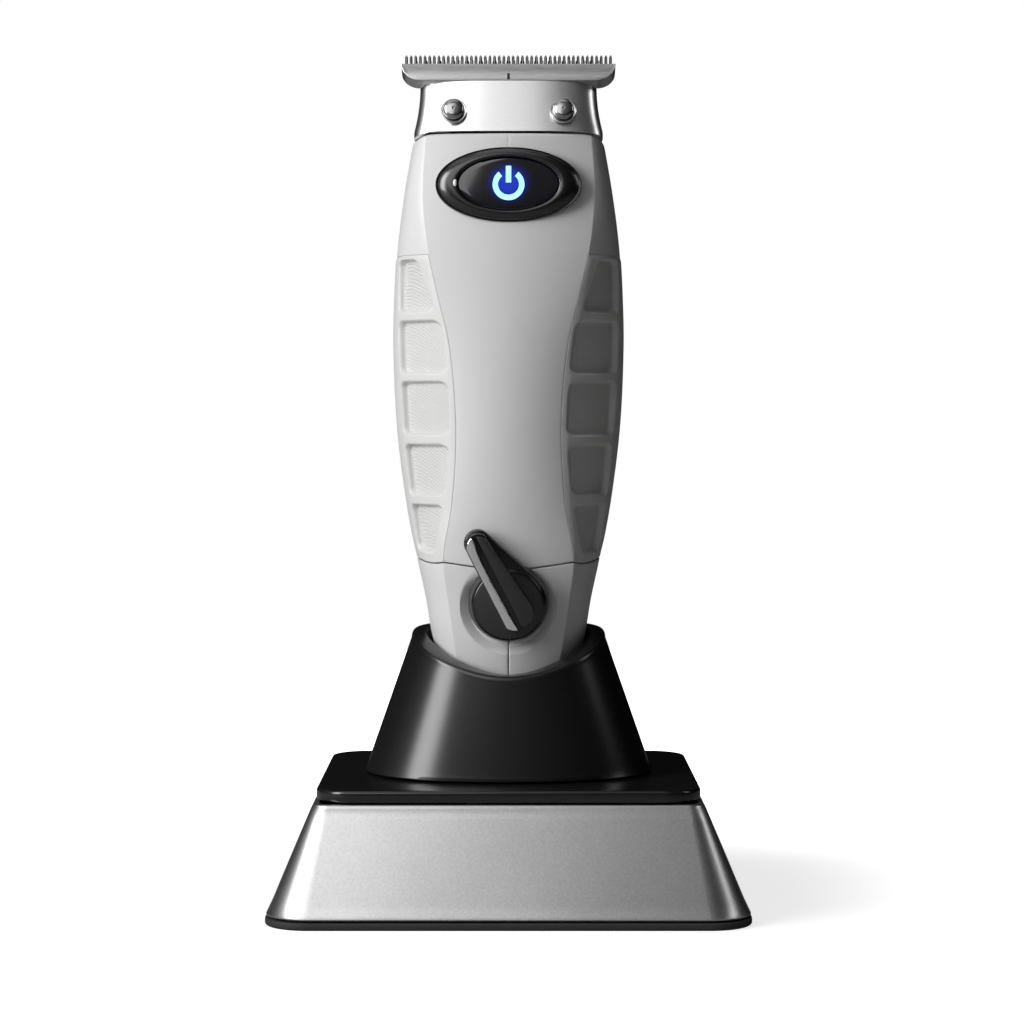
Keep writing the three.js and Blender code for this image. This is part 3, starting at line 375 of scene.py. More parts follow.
class NodeBuilder:
    """Adds nodes to a tree."""

    def __init__(self, tree):
        self.tree = tree

    def make(self, kind, settings=None, sockets=None, output=0):
        """A new node, and one of its outputs as a Value."""
        node = self.tree.nodes.new(kind)
        for label, value in (settings or {}).items():
            setattr(node, label, value)
        for label, value in (sockets or {}).items():
            self.join(node.inputs[label], value)
        return Value(self, node.outputs[output]) if node.outputs else None

    def join(self, socket, value):
        """Links a Value to a socket, or sets a plain number or colour on it."""
        if isinstance(value, Value):
            self.tree.links.new(value.socket, socket)
        else:
            socket.default_value = value

    def axes(self, vector):
        return [self.make("ShaderNodeSeparateXYZ", sockets={0: vector}, output=i) for i in range(3)]

    def step(self, value, low, high, start=0.0, end=1.0):
        """start below low, end above high, smooth between."""
        sockets = {0: value, 1: low, 2: high, 3: start, 4: end}
        return self.make("ShaderNodeMapRange", {"interpolation_type": "SMOOTHSTEP"}, sockets)


FINISHES = {}


class Paint(NodeBuilder):
    """A material built from its principled shader outwards, kept among the finishes by name.

    A colour that is one number is a grey.
    """

    def __init__(self, name, colour, roughness, metallic=0.0, **constants):
        material = FINISHES[name] = bpy.data.materials.new(name)
        material.use_nodes = True
        super().__init__(material.node_tree)
        self.shader = self.tree.nodes["Principled BSDF"]
        self.colour = colour if isinstance(colour, tuple) else (colour, colour, colour)
        self.feed(Base_Color=(*self.colour, 1), Roughness=roughness, Metallic=metallic)
        self.feed(**constants)

    def feed(self, **channels):
        """Joins the shader's channels."""
        for label, value in channels.items():
            self.join(self.shader.inputs[label.replace("_", " ")], value)

    def place(self):
        return self.make("ShaderNodeTexCoord", output="Object")

    def noise(self, vector, scale, detail=2.0, roughness=0.5):
        sockets = {"Vector": vector, "Scale": scale, "Detail": detail, "Roughness": roughness}
        return self.make("ShaderNodeTexNoise", {"noise_dimensions": "3D"}, sockets)

    def stretched(self, vector, scale):
        return self.make("ShaderNodeMapping", sockets={"Vector": vector, "Scale": scale})

    def sine(self, value):
        return self.make("ShaderNodeMath", {"operation": "SINE"}, {0: value})

    def blend(self, share, first, second):
        sockets = {0: share, 6: (*first, 1), 7: (*second, 1)}
        return self.make("ShaderNodeMix", {"data_type": "RGBA"}, sockets, output=2)

    def bump(self, height, strength, distance):
        sockets = {"Strength": strength, "Distance": distance, "Height": height}
        return self.make("ShaderNodeBump", None, sockets)

    def toned(self, share, darker, lighter):
        """The colour, wandering between a darker and a lighter tone of itself."""
        low, high = ([min(1.0, c * tone) for c in self.colour] for tone in (darker, lighter))
        return self.blend(share, low, high)


def moulding(name, colour, roughness=0.4, grain=2600, depth=0.00002, tone_range=0.03, **constants):
    """Moulded plastic: a fine spark-eroded grain, with slight flow tone."""
    paint = Paint(name, colour, roughness, **constants)
    place = paint.place()
    fine = paint.noise(place, grain, 2)
    paint.feed(
        Base_Color=paint.toned(paint.noise(place, 60, 3), 1 - tone_range, 1 + tone_range),
        Roughness=roughness - 0.03 + 0.06 * fine,
        Normal=paint.bump(fine, 0.35, depth),
    )


def textured_grip(name, colour):
    """Grip moulding: smooth ribs, and pocket floors with fine crossing lines; the floors carry painted
    shade, darker than the ribs and darker in the troughs of the lines.
    """
    line_pitch = 0.00062
    paint = Paint(name, colour, 0.45)
    place = paint.place()
    x, y, z = paint.axes(place)
    floor = paint.make("ShaderNodeAttribute", {"attribute_name": "pocket"}, output="Fac")
    turns = 2 * math.pi / line_pitch
    wobble = paint.noise(place, 450, 2) * 5.0
    around = x * 1.3 + y * 0.6
    rising = paint.sine((around + z) * turns + wobble)
    falling = paint.sine((around - z) * turns + wobble)
    weave = rising * 0.33 + falling * 0.17 + 0.5
    grain = paint.noise(place, 2600, 2)
    # painted shade: the pocket floors are toned darker than the ribs, and the weave's troughs darker
    # than its crests; the noise term is the moulding's own random tone
    tone = paint.noise(place, 90, 3) * 0.5 + (1 - floor) * 0.35 + weave * floor * 0.25
    paint.feed(
        Base_Color=paint.toned(tone, 0.86, 1.08),
        Roughness=0.42 + 0.12 * floor + 0.05 * grain,
        Normal=paint.bump(weave * floor + grain * 0.25, 0.75, 0.00011),
    )


def satin_metal(name, colour, roughness, stretch=(1, 1, 1), grain=1500, depth=0.000012, tone_range=0.1):
    """Ground or blasted metal: fine grain, drawn out along the way it was ground."""
    paint = Paint(name, colour, roughness, 1.0)
    place = paint.place()
    fine = paint.noise(paint.stretched(place, stretch), grain, 4, 0.65)
    tone = paint.step(fine * 0.7 + paint.noise(place, 45, 3) * 0.3, 0.25, 0.75)
    paint.feed(
        Base_Color=paint.toned(tone, 1 - tone_range, 1 + tone_range),
        Roughness=roughness - 0.03 + 0.06 * fine,
        Normal=paint.bump(fine, 0.3, depth),
    )


def polished(name, colour, roughness, **constants):
    """A polished face: almost clean, with faint handling haze."""
    paint = Paint(name, colour, roughness, **constants)
    place = paint.place()
    haze = paint.noise(place, 160, 4, 0.6)
    paint.feed(
        Base_Color=paint.toned(haze, 0.9, 1.1),
        Roughness=roughness + 0.05 * haze,
        Normal=paint.bump(paint.noise(place, 3000, 1), 0.15, 0.000006),
    )


def circuit_board(name):
    """Green solder mask over copper tracks."""
    mask_green, track_green = (0.01, 0.12, 0.05), (0.03, 0.26, 0.1)
    paint = Paint(name, mask_green, 0.35)
    tracks = paint.make("ShaderNodeTexVoronoi", {"feature": "DISTANCE_TO_EDGE", "distance": "MANHATTAN"},
                        {"Vector": paint.place(), "Scale": 420.0})
    mask = paint.step(tracks, 0.03, 0.06)
    paint.feed(
        Base_Color=paint.blend(mask, track_green, mask_green),
        Normal=paint.bump(mask, 0.3, 0.00003),
    )


def lit_lens(name):
    """Smoked lens with a deep blue glow around its lit mark."""
    glow_half = (4.3 * MM, 4.0 * MM)
    glow_centre_z = (BUTTON_CENTRE.z + 0.3) * MM
    paint = Paint(name, (0.006, 0.006, 0.008), 0.09,
                  Coat_Weight=0.6, Coat_Roughness=0.05, Emission_Strength=0.5)
    place = paint.place()
    x, _, z = paint.axes(place)
    across, up = x / glow_half[0], (z - glow_centre_z) / glow_half[1]
    reach = (across * across + up * up) ** 0.5
    glow = (1 - paint.step(reach, 0.25, 1.25)) ** 2.2
    paint.feed(
        Base_Color=paint.blend(glow, (0.006, 0.006, 0.009), (0.01, 0.02, 0.1)),
        Emission_Color=paint.blend(glow, (0, 0, 0), (0.01, 0.05, 0.9)),
        Roughness=0.07 + 0.05 * paint.noise(place, 300, 3),
    )


def lit_mark(name):
    """The glowing mark: pale blue, paler in the middle."""
    paint = Paint(name, (0.25, 0.6, 1.0), 0.4, Emission_Strength=1.25)
    cloud = paint.noise(paint.place(), 700, 2)
    light = paint.blend(cloud, (0.10, 0.42, 1.0), (0.45, 0.8, 1.0))
    paint.feed(Emission_Color=light, Roughness=0.35 + 0.1 * cloud)


moulding("pad_rubber", 0.012, 0.75, 900, 0.00006)
moulding("base_black", 0.02, 0.55)
satin_metal("ballast_iron", (0.22, 0.22, 0.23), 0.6, grain=500, depth=0.00008)
satin_metal("stand_steel", 0.46, 0.34, grain=2200, tone_range=0.13)
polished("plate_black", 0.008, 0.16)
moulding("cradle_black", 0.008, 0.26, 3200, 8e-7)
circuit_board("circuit_board")
moulding("inlet_black", 0.015, 0.4)
satin_metal("contact_brass", (0.75, 0.55, 0.22), 0.25)
moulding("nylon", (0.75, 0.73, 0.66), 0.5, Subsurface_Weight=0.1)
satin_metal("spring_steel", 0.7, 0.2)
moulding("wire_red", (0.35, 0.02, 0.015), 0.45)
satin_metal("screw_steel", 0.32, 0.2, grain=1200)
satin_metal("washer_chrome", 0.6, 0.2)
moulding("body_grey", 0.6, 0.42, 2400, 0.000012, 0.015)
textured_grip("grip_grey", (0.58, 0.58, 0.575))
satin_metal("blade_steel", 0.78, 0.29, (0.4, 1, 1), 2600, 3e-7, 0.03)
satin_metal("motor_steel", 0.55, 0.3, (1, 1, 0.1))
moulding("moulded_black", 0.02, 0.5)
polished("cell_wrap", (0.02, 0.06, 0.3), 0.3)
polished("bezel_gloss", 0.004, 0.22, Specular_IOR_Level=0.7)
lit_lens("button_gloss")
lit_mark("light_blue")
polished("knob_black", 0.006, 0.18)
satin_metal("lever_chrome", 0.85, 0.13, (1, 1, 0.3), 2600, 3e-6, 0.06)
moulding("knob_satin", 0.016, 0.42, 3000, 0.00001)
satin_metal("ground_steel", 0.45, 0.3, (0.12, 1, 1), 2600, 3e-6, 0.14)
moulding("dark_mark", 0.01, 0.6)
polished("pip_light", (0.75, 0.8, 0.85), 0.2)


# ---- body form


def clamped(value):
    return min(1.0, max(0.0, value))


def smooth(value, low, high):
    """0 below low, 1 above high, smooth between."""
    t = clamped((value - low) / (high - low))
    return t * t * (3 - 2 * t)


def rolled(distance, radius):
    """How far a rounded edge has dropped at a distance from its border."""
    if distance >= radius:
        return 0.0
    return radius - math.sqrt(max(0.0, radius**2 - (radius - max(0.0, distance)) ** 2))


@functools.lru_cache(maxsize=None)
def body_sizes(z):
    """Half width, front depth and crease half width at a height, smooth through the stations."""
    rows, last = BODY_STATIONS, len(BODY_STATIONS) - 1
    i = next((n for n, row in enumerate(rows) if row[0] > z), last) - 1
    i = min(max(i, 0), last - 1)
    a, b, before, after = rows[i], rows[i + 1], rows[max(i - 1, 0)], rows[min(i + 2, last)]
    step = b[0] - a[0]
    t = clamped((z - a[0]) / step)
    t2, t3 = t * t, t * t * t
    sizes = []
    for column in (1, 2, 3):
        slope_in = (b[column] - before[column]) / (b[0] - before[0]) * step
        slope_out = (after[column] - a[column]) / (after[0] - a[0]) * step
        sizes.append(
            (2 * t3 - 3 * t2 + 1) * a[column] + (t3 - 2 * t2 + t) * slope_in
            + (3 * t2 - 2 * t3) * b[column] + (t3 - t2) * slope_out
        )
    return tuple(sizes)


def facet_bulge(z):
    """How full a facet is between its crease and its side: rounder towards the blade."""
    return 0.55 + 0.3 * smooth(z, 114, 134)


def body_point(share, facing, z):
    """A point of the skin: share runs from 0 mid-face, past 1 at the crease, to 2 at the side."""
    half, depth, crease = body_sizes(z)
    if facing > 0:
        depth *= REAR_SHARE
    across = abs(share)
    if across <= 1:
        x, y = crease * across, depth - FACE_CROWN * across * across
    else:
        s = across - 1
        rest = 1 - s
        x = rest * rest * crease + (1 - rest * rest) * half
        y = (depth - FACE_CROWN) * (rest * rest + 2 * s * rest * facet_bulge(z))
    return Vector((math.copysign(x, share), facing * y, z))


def body_skin(share, facing, z, out):
    """A point stood off the skin by a distance, along the skin's own normal."""
    point = body_point(share, facing, z)
    ahead, behind = min(2, share + NORMAL_REACH), max(-2, share - NORMAL_REACH)
    across = body_point(ahead, facing, z) - body_point(behind, facing, z)
    up = body_point(share, facing, z + 0.2) - body_point(share, facing, z - 0.2)
    normal = across.cross(up).normalized()
    return point + normal * (-facing * out)


def seam_height(x):
    """The seam between grips and lower housing: straight across the face, dipped across each facet."""
    crease = body_sizes(SEAM_CREASE_Z)[2]
    if abs(x) <= crease:
        return SEAM_CENTRE_Z + (SEAM_CREASE_Z - SEAM_CENTRE_Z) * abs(x) / crease
    out = clamped((abs(x) - crease) / (SEAM_HALF_WIDTH - crease))
    return SEAM_CREASE_Z + (SEAM_SIDE_Z - SEAM_CREASE_Z) * out - SEAM_DIP * math.sin(math.pi * out)


def corner_drop(x, y):
    """How far the line between blade and housing falls at the front corners."""
    out = clamped((abs(x) - CORNER_START) / CORNER_LENGTH)
    return CORNER_DROP * (1 - math.sqrt(1 - 0.98 * out * out)) * (1 - smooth(y, -2, 5))


def dish_depth(x, z):
    """The shallow dish round the switch, which fades out towards the seam."""
    reach = math.hypot(x, z - DISH_CENTRE_Z)
    fade = 1 - smooth(z, *DISH_FADE)
    return DISH_DEPTH * fade * clamped((DISH_RADIUS - reach) / DISH_WALL)


def onto_ring(x, z):
    """Moves a point near either edge of the dish's wall onto it, so that both edges are clean."""
    reach = math.hypot(x, z - DISH_CENTRE_Z)
    for radius in (DISH_RADIUS, DISH_RADIUS - DISH_WALL):
        if abs(reach - radius) < RING_PULL:
            return x * radius / reach, DISH_CENTRE_Z + (z - DISH_CENTRE_Z) * radius / reach
    return x, z


def screw_well(x, z):
    """Depth of the wells round the housing screws."""
    reach = min(math.hypot(x - screw_x, z - screw_z) for screw_x, screw_z in HOUSING_SCREWS)
    return SCREW_WELL_DEPTH * (1 - smooth(reach, *SCREW_WELL_RADII))


SHARE_LINES = ruled((-2, -1, 0, 1, 2), 0.036, (0.005, 0.012, 0.03))
HEIGHT_FINE = (0.05, 0.13, 0.3)


def near_zone(share, z, crease):
    """Distance from a grip's window in the housing, for points outside it."""
    beside = max(0.0, 1 - abs(share)) * crease
    return math.hypot(beside, max(0.0, z - GRIP_TOP - GRIP_GAP))


def settled(x, z):
    """A height above the seam, drawn down near it so that the lowest row follows its curve."""
    return z + (seam_height(x) - SEAM_SIDE_Z) * (1 - smooth(z, SEAM_SIDE_Z, SEAM_SIDE_Z + SEAM_SETTLE))


def upper_housing(facing):
    """The front or back half of the main housing, with a window for each grip."""
    window_top = GRIP_TOP + GRIP_GAP
    heights = ruled((GRIP_BOTTOM, window_top, BODY_TOP), 0.5, HEIGHT_FINE)
    hollow_depth, hollow_reach = 1.4, 0.9  # the opening behind the bezel, as a share of its size
    score_depth = 0.035

    def place(share, z):
        share *= -facing
        point = body_point(share, facing, z)
        x, height = point.x, settled(point.x, z)
        height -= corner_drop(x, point.y) * smooth(z, BODY_TOP - 9, BODY_TOP)
        out = -rolled(z - GRIP_BOTTOM, SEAM_EDGE) - rolled(BODY_TOP - z, 0.5)
        out -= rolled((2 - abs(share)) * FACET_LENGTH, SEAM_EDGE)
        out -= rolled(near_zone(share, z, body_sizes(height)[2]), 0.1)
        if facing < 0:
            oval = math.hypot(x / BEZEL_HALF[0], (height - BUTTON_CENTRE.z) / BEZEL_HALF[1])
            out -= hollow_depth * (1 - smooth(oval, hollow_reach - 0.05, hollow_reach))
            out -= dish_depth(x, height)
            out -= score_depth * (1 - smooth(abs(x), 0.03, 0.22)) * smooth(height, 140, 143)
        else:
            out -= screw_well(x, height)
        return body_skin(share, facing, height, out)

    def in_window(share, z):
        return abs(share) > 1 and z < window_top

    return thickened(lattice(SHARE_LINES, heights, place, in_window), HOUSING_WALL)


def pocket_mask(across, z):
    """1 on the floor of a pocket, 0 on the ribs, falling over its walls."""
    corner = 1.5
    best = 0.0
    for low, high, inner_low, inner_high in POCKETS:
        if not low - 1 < z < high + 1:
            continue
        t = clamped((z - low) / (high - low))
        inner = inner_low + (inner_high - inner_low) * t
        dx = min((across - inner) * FACET_LENGTH, (POCKET_OUTER - across) * FACET_LENGTH)
        dz = min(z - low, high - z)
        inside = min(dx, dz)
        if dx < corner and dz < corner:
            inside = corner - math.hypot(corner - dx, corner - dz)
        best = max(best, smooth(inside, 0.0, POCKET_WALL))
    return best


def grip(side):
    """One side grip: two facets of framed pockets, wrapped round the widest line."""
    start = 1 + GRIP_GAP / FACET_LENGTH
    turns = ruled((start - 2, 0, 2 - start), 0.013, (0.003, 0.008, 0.016))
    heights = ruled((GRIP_BOTTOM, GRIP_TOP), 0.23, (0.05, 0.11, 0.22))
    masks = {}

    def key(point):
        return tuple(round(c, 4) for c in point)

    def place(turn, z):
        turn *= side
        facing = -1 if turn * side < 0 else 1
        share = 2 - abs(turn)
        edge = min((share - start) * FACET_LENGTH, GRIP_TOP - z)
        border = min(edge, (z - GRIP_BOTTOM) * 0.2)
        mask = pocket_mask(share - 1, z)
        depth = POCKET_DEPTH + POCKET_DEEPER * (share - 1) / POCKET_OUTER
        out = GRIP_PROUD * smooth(border, 0, 0.9) - rolled(edge, 0.1) - depth * mask
        out -= rolled(z - GRIP_BOTTOM, SEAM_EDGE)
        height = settled(body_point(share, facing, z).x, z)
        point = body_skin(side * share, facing, height, out)
        masks[key(point)] = mask
        return point

    sheet = right_way_out(lattice(turns, heights, place), side)
    layer = sheet.verts.layers.float.new("pocket")
    for vert in sheet.verts:
        vert[layer] = masks.get(key(vert.co), 0.0)
    return thickened(sheet, GRIP_WALL)


def lower_housing(side):
    """Half of the lower housing, from its front seam round to its back one."""
    turns = ruled((0, 1), 0.028, (0.006, 0.014)) + ruled((1, 2, 3, 4), 0.05, (0.006, 0.016, 0.034))[1:]
    top, foot = SEAM_SIDE_Z - SEAM_GAP, BODY_BOTTOM + LOWER_EDGE
    heights = [BODY_BOTTOM + rise for rise in (0.02, 0.2, 0.6)] + ruled((foot, top), 0.33, HEIGHT_FINE)
    close = 0.007  # share at which each half stops short of the middle

    def place(turn, z):
        facing = -1 if turn <= 2 else 1
        share = close + (turn if turn <= 2 else 4 - turn) * (1 - close / 2)
        x = body_point(share, facing, max(z, foot)).x
        height = z + (seam_height(x) - SEAM_SIDE_Z) * smooth(z, top - SEAM_SETTLE, top)
        if facing < 0 and share < 1 and top - z > 0.6:
            ring_x, height = onto_ring(x, height)
            share, x = max(close, share * ring_x / x), ring_x
        level = max(height, foot)
        out = -rolled(top - z, SEAM_EDGE) - rolled((share - close) * body_sizes(level)[2], SEAM_EDGE)
        out -= LOWER_EDGE - math.sqrt(max(0.0, LOWER_EDGE**2 - (level - height) ** 2))
        if facing < 0:
            out -= dish_depth(x, height)
        point = body_skin(share, facing, level, out)
        return Vector((point.x * side, point.y, height))

    return thickened(right_way_out(lattice(turns, heights, place), side), HOUSING_WALL)


def end_plate():
    """The plate that closes the lower end, inside the two lower shells."""
    half, depth, _ = body_sizes(BODY_BOTTOM + LOWER_EDGE)
    middle = None  # a point on the axis
    rows = ((middle, 30.4), (2.2, 30.4), (1.6, 30.2), (1.6, 29.3), (2.0, 29.05), (middle, 29.05))

    def place(angle, i):
        inset, height = rows[int(i)]
        if inset is middle:
            return Vector((0, 0, height))
        c, s = math.cos(angle), math.sin(angle)
        x = (half - inset) * math.copysign(abs(c) ** 0.8, c)
        y = (depth * 0.93 - inset) * math.copysign(abs(s) ** 0.8, s)
        return Vector((x, y, height))

    return outwards(welded(lattice(spread(0, 2 * math.pi, 64), range(len(rows)), place)))


# ---- stand


def rounded_outline(half_x, half_y, radius, steps):
    """Points of a rounded rectangle, anticlockwise, the first one repeated at the end."""
    points = []
    for side_x, side_y, start in ((1, -1, -90), (1, 1, 0), (-1, 1, 90), (-1, -1, 180)):
        for angle in spread(start, start + 90, steps):
            a = math.radians(angle)
            points.append((side_x * (half_x - radius) + radius * math.cos(a),
                           side_y * (half_y - radius) + radius * math.sin(a)))
    return points + points[:1]


def boxed(rows, corner, hollow=False):
    """A closed piece of rounded rectangular sections: each row is its half sizes and height."""
    steps = 14
    widest = max(half_x for half_x, _, _ in rows)
    if hollow:
        rows = [*rows, rows[0]]

    def place(i, j):
        half_x, half_y, z = rows[int(j)]
        if half_x <= 0:
            return Vector((0, 0, z))
        radius = max(0.3, corner - (widest - half_x) * 0.6)
        return Vector((*rounded_outline(half_x, half_y, radius, steps)[int(i)], z))

    return welded(lattice(range(4 * (steps + 1) + 1), range(len(rows)), place))


def edge_rows(half_x, half_y, z, radius, turn, steps):
    """Rows round an edge: turn is 'up' from a wall onto a top, 'down' from a base onto a wall."""
    rows = []
    for i in range(steps + 1):
        a = math.pi / 2 * i / steps
        if turn == "up":
            inset, rise = radius * (1 - math.cos(a)), -radius * (1 - math.sin(a))
        else:
            inset, rise = radius * (1 - math.sin(a)), radius * (1 - math.cos(a))
        rows.append((half_x - inset, half_y - inset, z + rise))
    return rows


def flat_piece(half_x, half_y, corner, base, top):
    """A full plate with rounded edges: base and top are each a height, a radius and its steps."""
    rows = [(0, 0, base[0]), (half_x - 2, half_y - 2, base[0])]
    rows += edge_rows(half_x, half_y, *base[:2], "down", base[2])
    rows += edge_rows(half_x, half_y, *top[:2], "up", top[2])
    return boxed([*rows, (half_x - 3, half_y - 3, top[0]), (0, 0, top[0])], corner)


def stand_shell():
    """The four-sided steel skirt, open above and below."""
    wall = 1.1
    bottom_x, bottom_y = STAND_HALF
    top_x, top_y = STAND_TOP_HALF
    rows = [(bottom_x - wall, bottom_y - wall, SHELL_BOTTOM)]
    rows += edge_rows(bottom_x, bottom_y, SHELL_BOTTOM, 0.35, "down", 3)
    for t in spread(0.04, 0.96, 10):
        rows.append((bottom_x + (top_x - bottom_x) * t, bottom_y + (top_y - bottom_y) * t,
                     SHELL_BOTTOM + (SHELL_TOP - SHELL_BOTTOM) * t))
    rows += edge_rows(top_x, top_y, SHELL_TOP, 0.45, "up", 4)
    rows.append((top_x - wall, top_y - wall, SHELL_TOP))
    return boxed(rows, STAND_CORNER, hollow=True)


def top_plate():
    """The gloss black deck."""
    return flat_piece(*PLATE_HALF, PLATE_CORNER, (PLATE_BOTTOM, 0.25, 3), (PLATE_TOP, 0.6, 5))


def foot_pad():
    """The rubber pad, a little proud of the skirt all round."""
    half_x, half_y = (half + PAD_PROUD for half in STAND_HALF)
    return flat_piece(half_x, half_y, STAND_CORNER, (0, 0.5, 4), (PAD_TOP, 0.3, 3))


def rim_height(angle):
    """The cradle's rim, lowest in front."""
    front = (1 - math.sin(angle)) / 2
    return CRADLE_RIM_Z - CRADLE_RIM_DIP * front**3.6


def oval_reach(half_x, half_y, angle):
    """How far the cradle's squarish oval is from its axis in a direction."""
    c, s = abs(math.cos(angle)), abs(math.sin(angle))
    total = (c / half_x) ** CRADLE_ROUNDNESS + (s / half_y) ** CRADLE_ROUNDNESS
    return total ** (-1 / CRADLE_ROUNDNESS)


@functools.lru_cache(maxsize=None)
def body_reach(angle, z):
    """How far the body's skin is from its axis in a direction."""
    facing = -1 if math.sin(angle) < 0 else 1

    def short(share):
        point = body_point(share, facing, z)
        return point.x / math.hypot(point.x, point.y) < abs(math.cos(angle))

    point = body_point(last_holding(short, 0.0, 2.0, 22), facing, z)
    return math.hypot(point.x, point.y)


def cradle_cup():
    """The oval cradle: a leaning outer wall, a rounded rim and a well shaped to the trimmer."""
    rim, foot = 1.0, 0.25
    rows = [("axis", CRADLE_BOTTOM), ("foot", 0.0), ("foot", 0.5), ("foot", 1.0)]
    rows += [("outer", t) for t in spread(0.03, 0.97, 26)]
    rows += [("rim", t) for t in spread(0, 1, 10)]
    rows += [("inner", t) for t in spread(0.97, 0.0, 16)]
    rows += [("axis", CRADLE_FLOOR)]

    def outer(angle, z):
        t = (z - CRADLE_BOTTOM) / (CRADLE_RIM_Z - CRADLE_BOTTOM)
        halves = (low + (high - low) * t for low, high in zip(CRADLE_BASE_HALF, CRADLE_RIM_HALF))
        return oval_reach(*halves, angle)

    def inner(angle, z):
        return body_reach(angle, z) + CRADLE_CLEARANCE

    def place(angle, j):
        kind, t = rows[int(j)]
        below_rim = rim_height(angle) - rim
        if kind == "axis":
            return Vector((0, 0, t))
        if kind == "foot":
            turn = t * math.pi / 2
            reach = outer(angle, CRADLE_BOTTOM) - foot * (1 - math.sin(turn))
            z = CRADLE_BOTTOM + foot * (1 - math.cos(turn))
        elif kind == "outer":
            z = CRADLE_BOTTOM + foot + (below_rim - CRADLE_BOTTOM - foot) * t
            reach = outer(angle, z)
        elif kind == "inner":
            z = CRADLE_FLOOR + (below_rim - CRADLE_FLOOR) * t
            reach = inner(angle, z)
        else:
            far, near = outer(angle, below_rim), inner(angle, below_rim)
            turn = t * math.pi
            lift = math.sin(turn) ** RIM_SQUARENESS
            across = math.copysign(abs(math.cos(turn)) ** RIM_SQUARENESS, math.cos(turn))
            reach, z = (far + near) / 2 + (far - near) / 2 * across, below_rim + rim * lift
        return Vector((reach * math.cos(angle), reach * math.sin(angle), z))

    return welded(lattice(spread(0, 2 * math.pi, 120), range(len(rows)), place))


def make_stand():
    """The stand's outer pieces."""
    piece("stand_pad", foot_pad(), "stand", "pad_rubber", ["foot_pad"])
    piece("steel_skirt", stand_shell(), "stand", "stand_steel", ["stand_shell"])
    piece("stand_deck", top_plate(), "stand", "plate_black", ["stand_top_plate"])
    piece("oval_cradle", cradle_cup(), "stand", "cradle_black", ["cradle_cup"])
    collar = turned(((3.2, -1), (5, -1), (5, 2.1), (4.7, 2.5), (3.7, 2.5), (3.2, 2), (3.2, -1)))
    back_wall = Matrix.Translation((0, 33.5, 11)) @ Matrix.Rotation(-math.pi / 2, 4, "X")
    piece("inlet_collar", moved(collar, back_wall), "stand", "inlet_black", ["inlet_bezel"])


def make_body():
    """The trimmer's shells and grips."""
    piece("front_shell", upper_housing(-1), "trimmer", "body_grey", ["front_housing"])
    piece("back_shell", upper_housing(1), "trimmer", "body_grey", ["rear_housing"])
    for name, side in SIDES:
        piece(f"side_grip_{name}", grip(side), "trimmer", "grip_grey", [f"grip_{name}"], sharp=75)
        piece(f"lower_shell_{name}", lower_housing(side), "trimmer", "body_grey",
              [f"lower_housing_{name}"], sharp=30)
    piece("lower_end", end_plate(), "trimmer", "body_grey")


# ---- blade set


def neck():
    """The formed sheet under the cutting head: a front wall with both sides turned back."""
    path = [-2, -1.8, -1.5, -1.2, *spread(-1, 1, 90), 1.2, 1.5, 1.8, 2]

    def outline(i, z):
        turn = path[int(i)]
        share = min(max(z - BLADE_FOOT.z, 0) / NECK_TAPER_HEIGHT, 1)
        half = NECK_HALF_WIDTH - NECK_TAPER * (1 - (1 - share) ** 2)
        front = BLADE_FOOT.y + (z - BLADE_FOOT.z) * math.tan(BLADE_TILT)
        if abs(turn) > 1:
            side_start = front + NECK_WRAP
            y = side_start + (NECK_BACK - side_start) * (abs(turn) - 1)
            return Vector((math.copysign(half, turn), y, z))
        angle = turn * math.pi / 2
        x = half * math.copysign(abs(math.sin(angle)) ** NECK_SQUARENESS, angle)
        return Vector((x, front + NECK_WRAP * (1 - math.cos(angle) ** NECK_SQUARENESS), z))

    def place(i, t):
        low = outline(i, BLADE_FOOT.z)
        top = CHEEK_TOP - (max(low.y, CHEEK_FRONT) - CHEEK_FRONT) * CHEEK_SLOPE
        foot = BLADE_FOOT.z - 0.12 - corner_drop(low.x, low.y)
        return outline(i, foot + (top - foot) * t)

    return thickened(lattice(range(len(path)), [0, 0.02, 0.05, *spread(0.1, 1, 20)], place), BLADE_PLATE)


def ear_foot(x):
    """Lower edge of the head: level, then swept up to the ear's corner."""
    t = clamped((abs(x) - EAR_START) / (HEAD_HALF_WIDTH - EAR_START))
    return HEAD_FOOT + EAR_SWEEP * (1 - math.sqrt(max(0.0, 1 - t**2.4)))


def head():
    """The T of the fixed blade, with its ground land above a shallow step."""
    section = (
        (2.2, "top", 0), (2.2, "foot", 0.08), (2.12, "foot", 0), (0.0, "foot", 0),
        (-0.09, "foot", 0.03), (-0.12, "foot", 0.12), (-0.13, "level", 10.6), (-0.10, "level", 11.4),
        (-0.02, "level", 12.1), (0.08, "level", 12.7), (0.2, "top", 0), (2.2, "top", 0),
    )

    def place(x, i):
        y, kind, value = section[int(i)]
        foot = min(ear_foot(x), HEAD_ROOT - 0.3)
        z = {"top": HEAD_ROOT, "foot": foot + value, "level": max(value, foot + 0.3)}[kind]
        if kind == "foot" and y > 1:
            z -= EAR_SLOPE * smooth(abs(x), 15.2, 16.6)
        return Vector((x, y, min(z, HEAD_ROOT)))

    ear = [-HEAD_HALF_WIDTH, -19.9, -19.7, *spread(-19.4, -15.6, 14)]
    columns = [*ear, *spread(-14, 14, 8), *(-x for x in reversed(ear))]
    return outwards(welded(lattice(columns, range(len(section)), place)))


def comb(pitch, half_span, width, root, tip, front, back, ridge):
    """A row of teeth, ridged in front: front and back are each their depth at the root and the tip."""
    whole = bmesh.new()
    count = int(half_span / pitch)
    for i in range(-count, count + 1):
        for vert in bmesh.ops.create_cube(whole, size=1)["verts"]:
            high, at_front = vert.co.z > 0, vert.co.y < 0
            narrow = (0.85 if high else 1.0) * (ridge if at_front else 1.0)
            y = (front if at_front else back)[high]
            vert.co = Vector((i * pitch + vert.co.x * width * narrow, y, tip if high else root))
    return whole


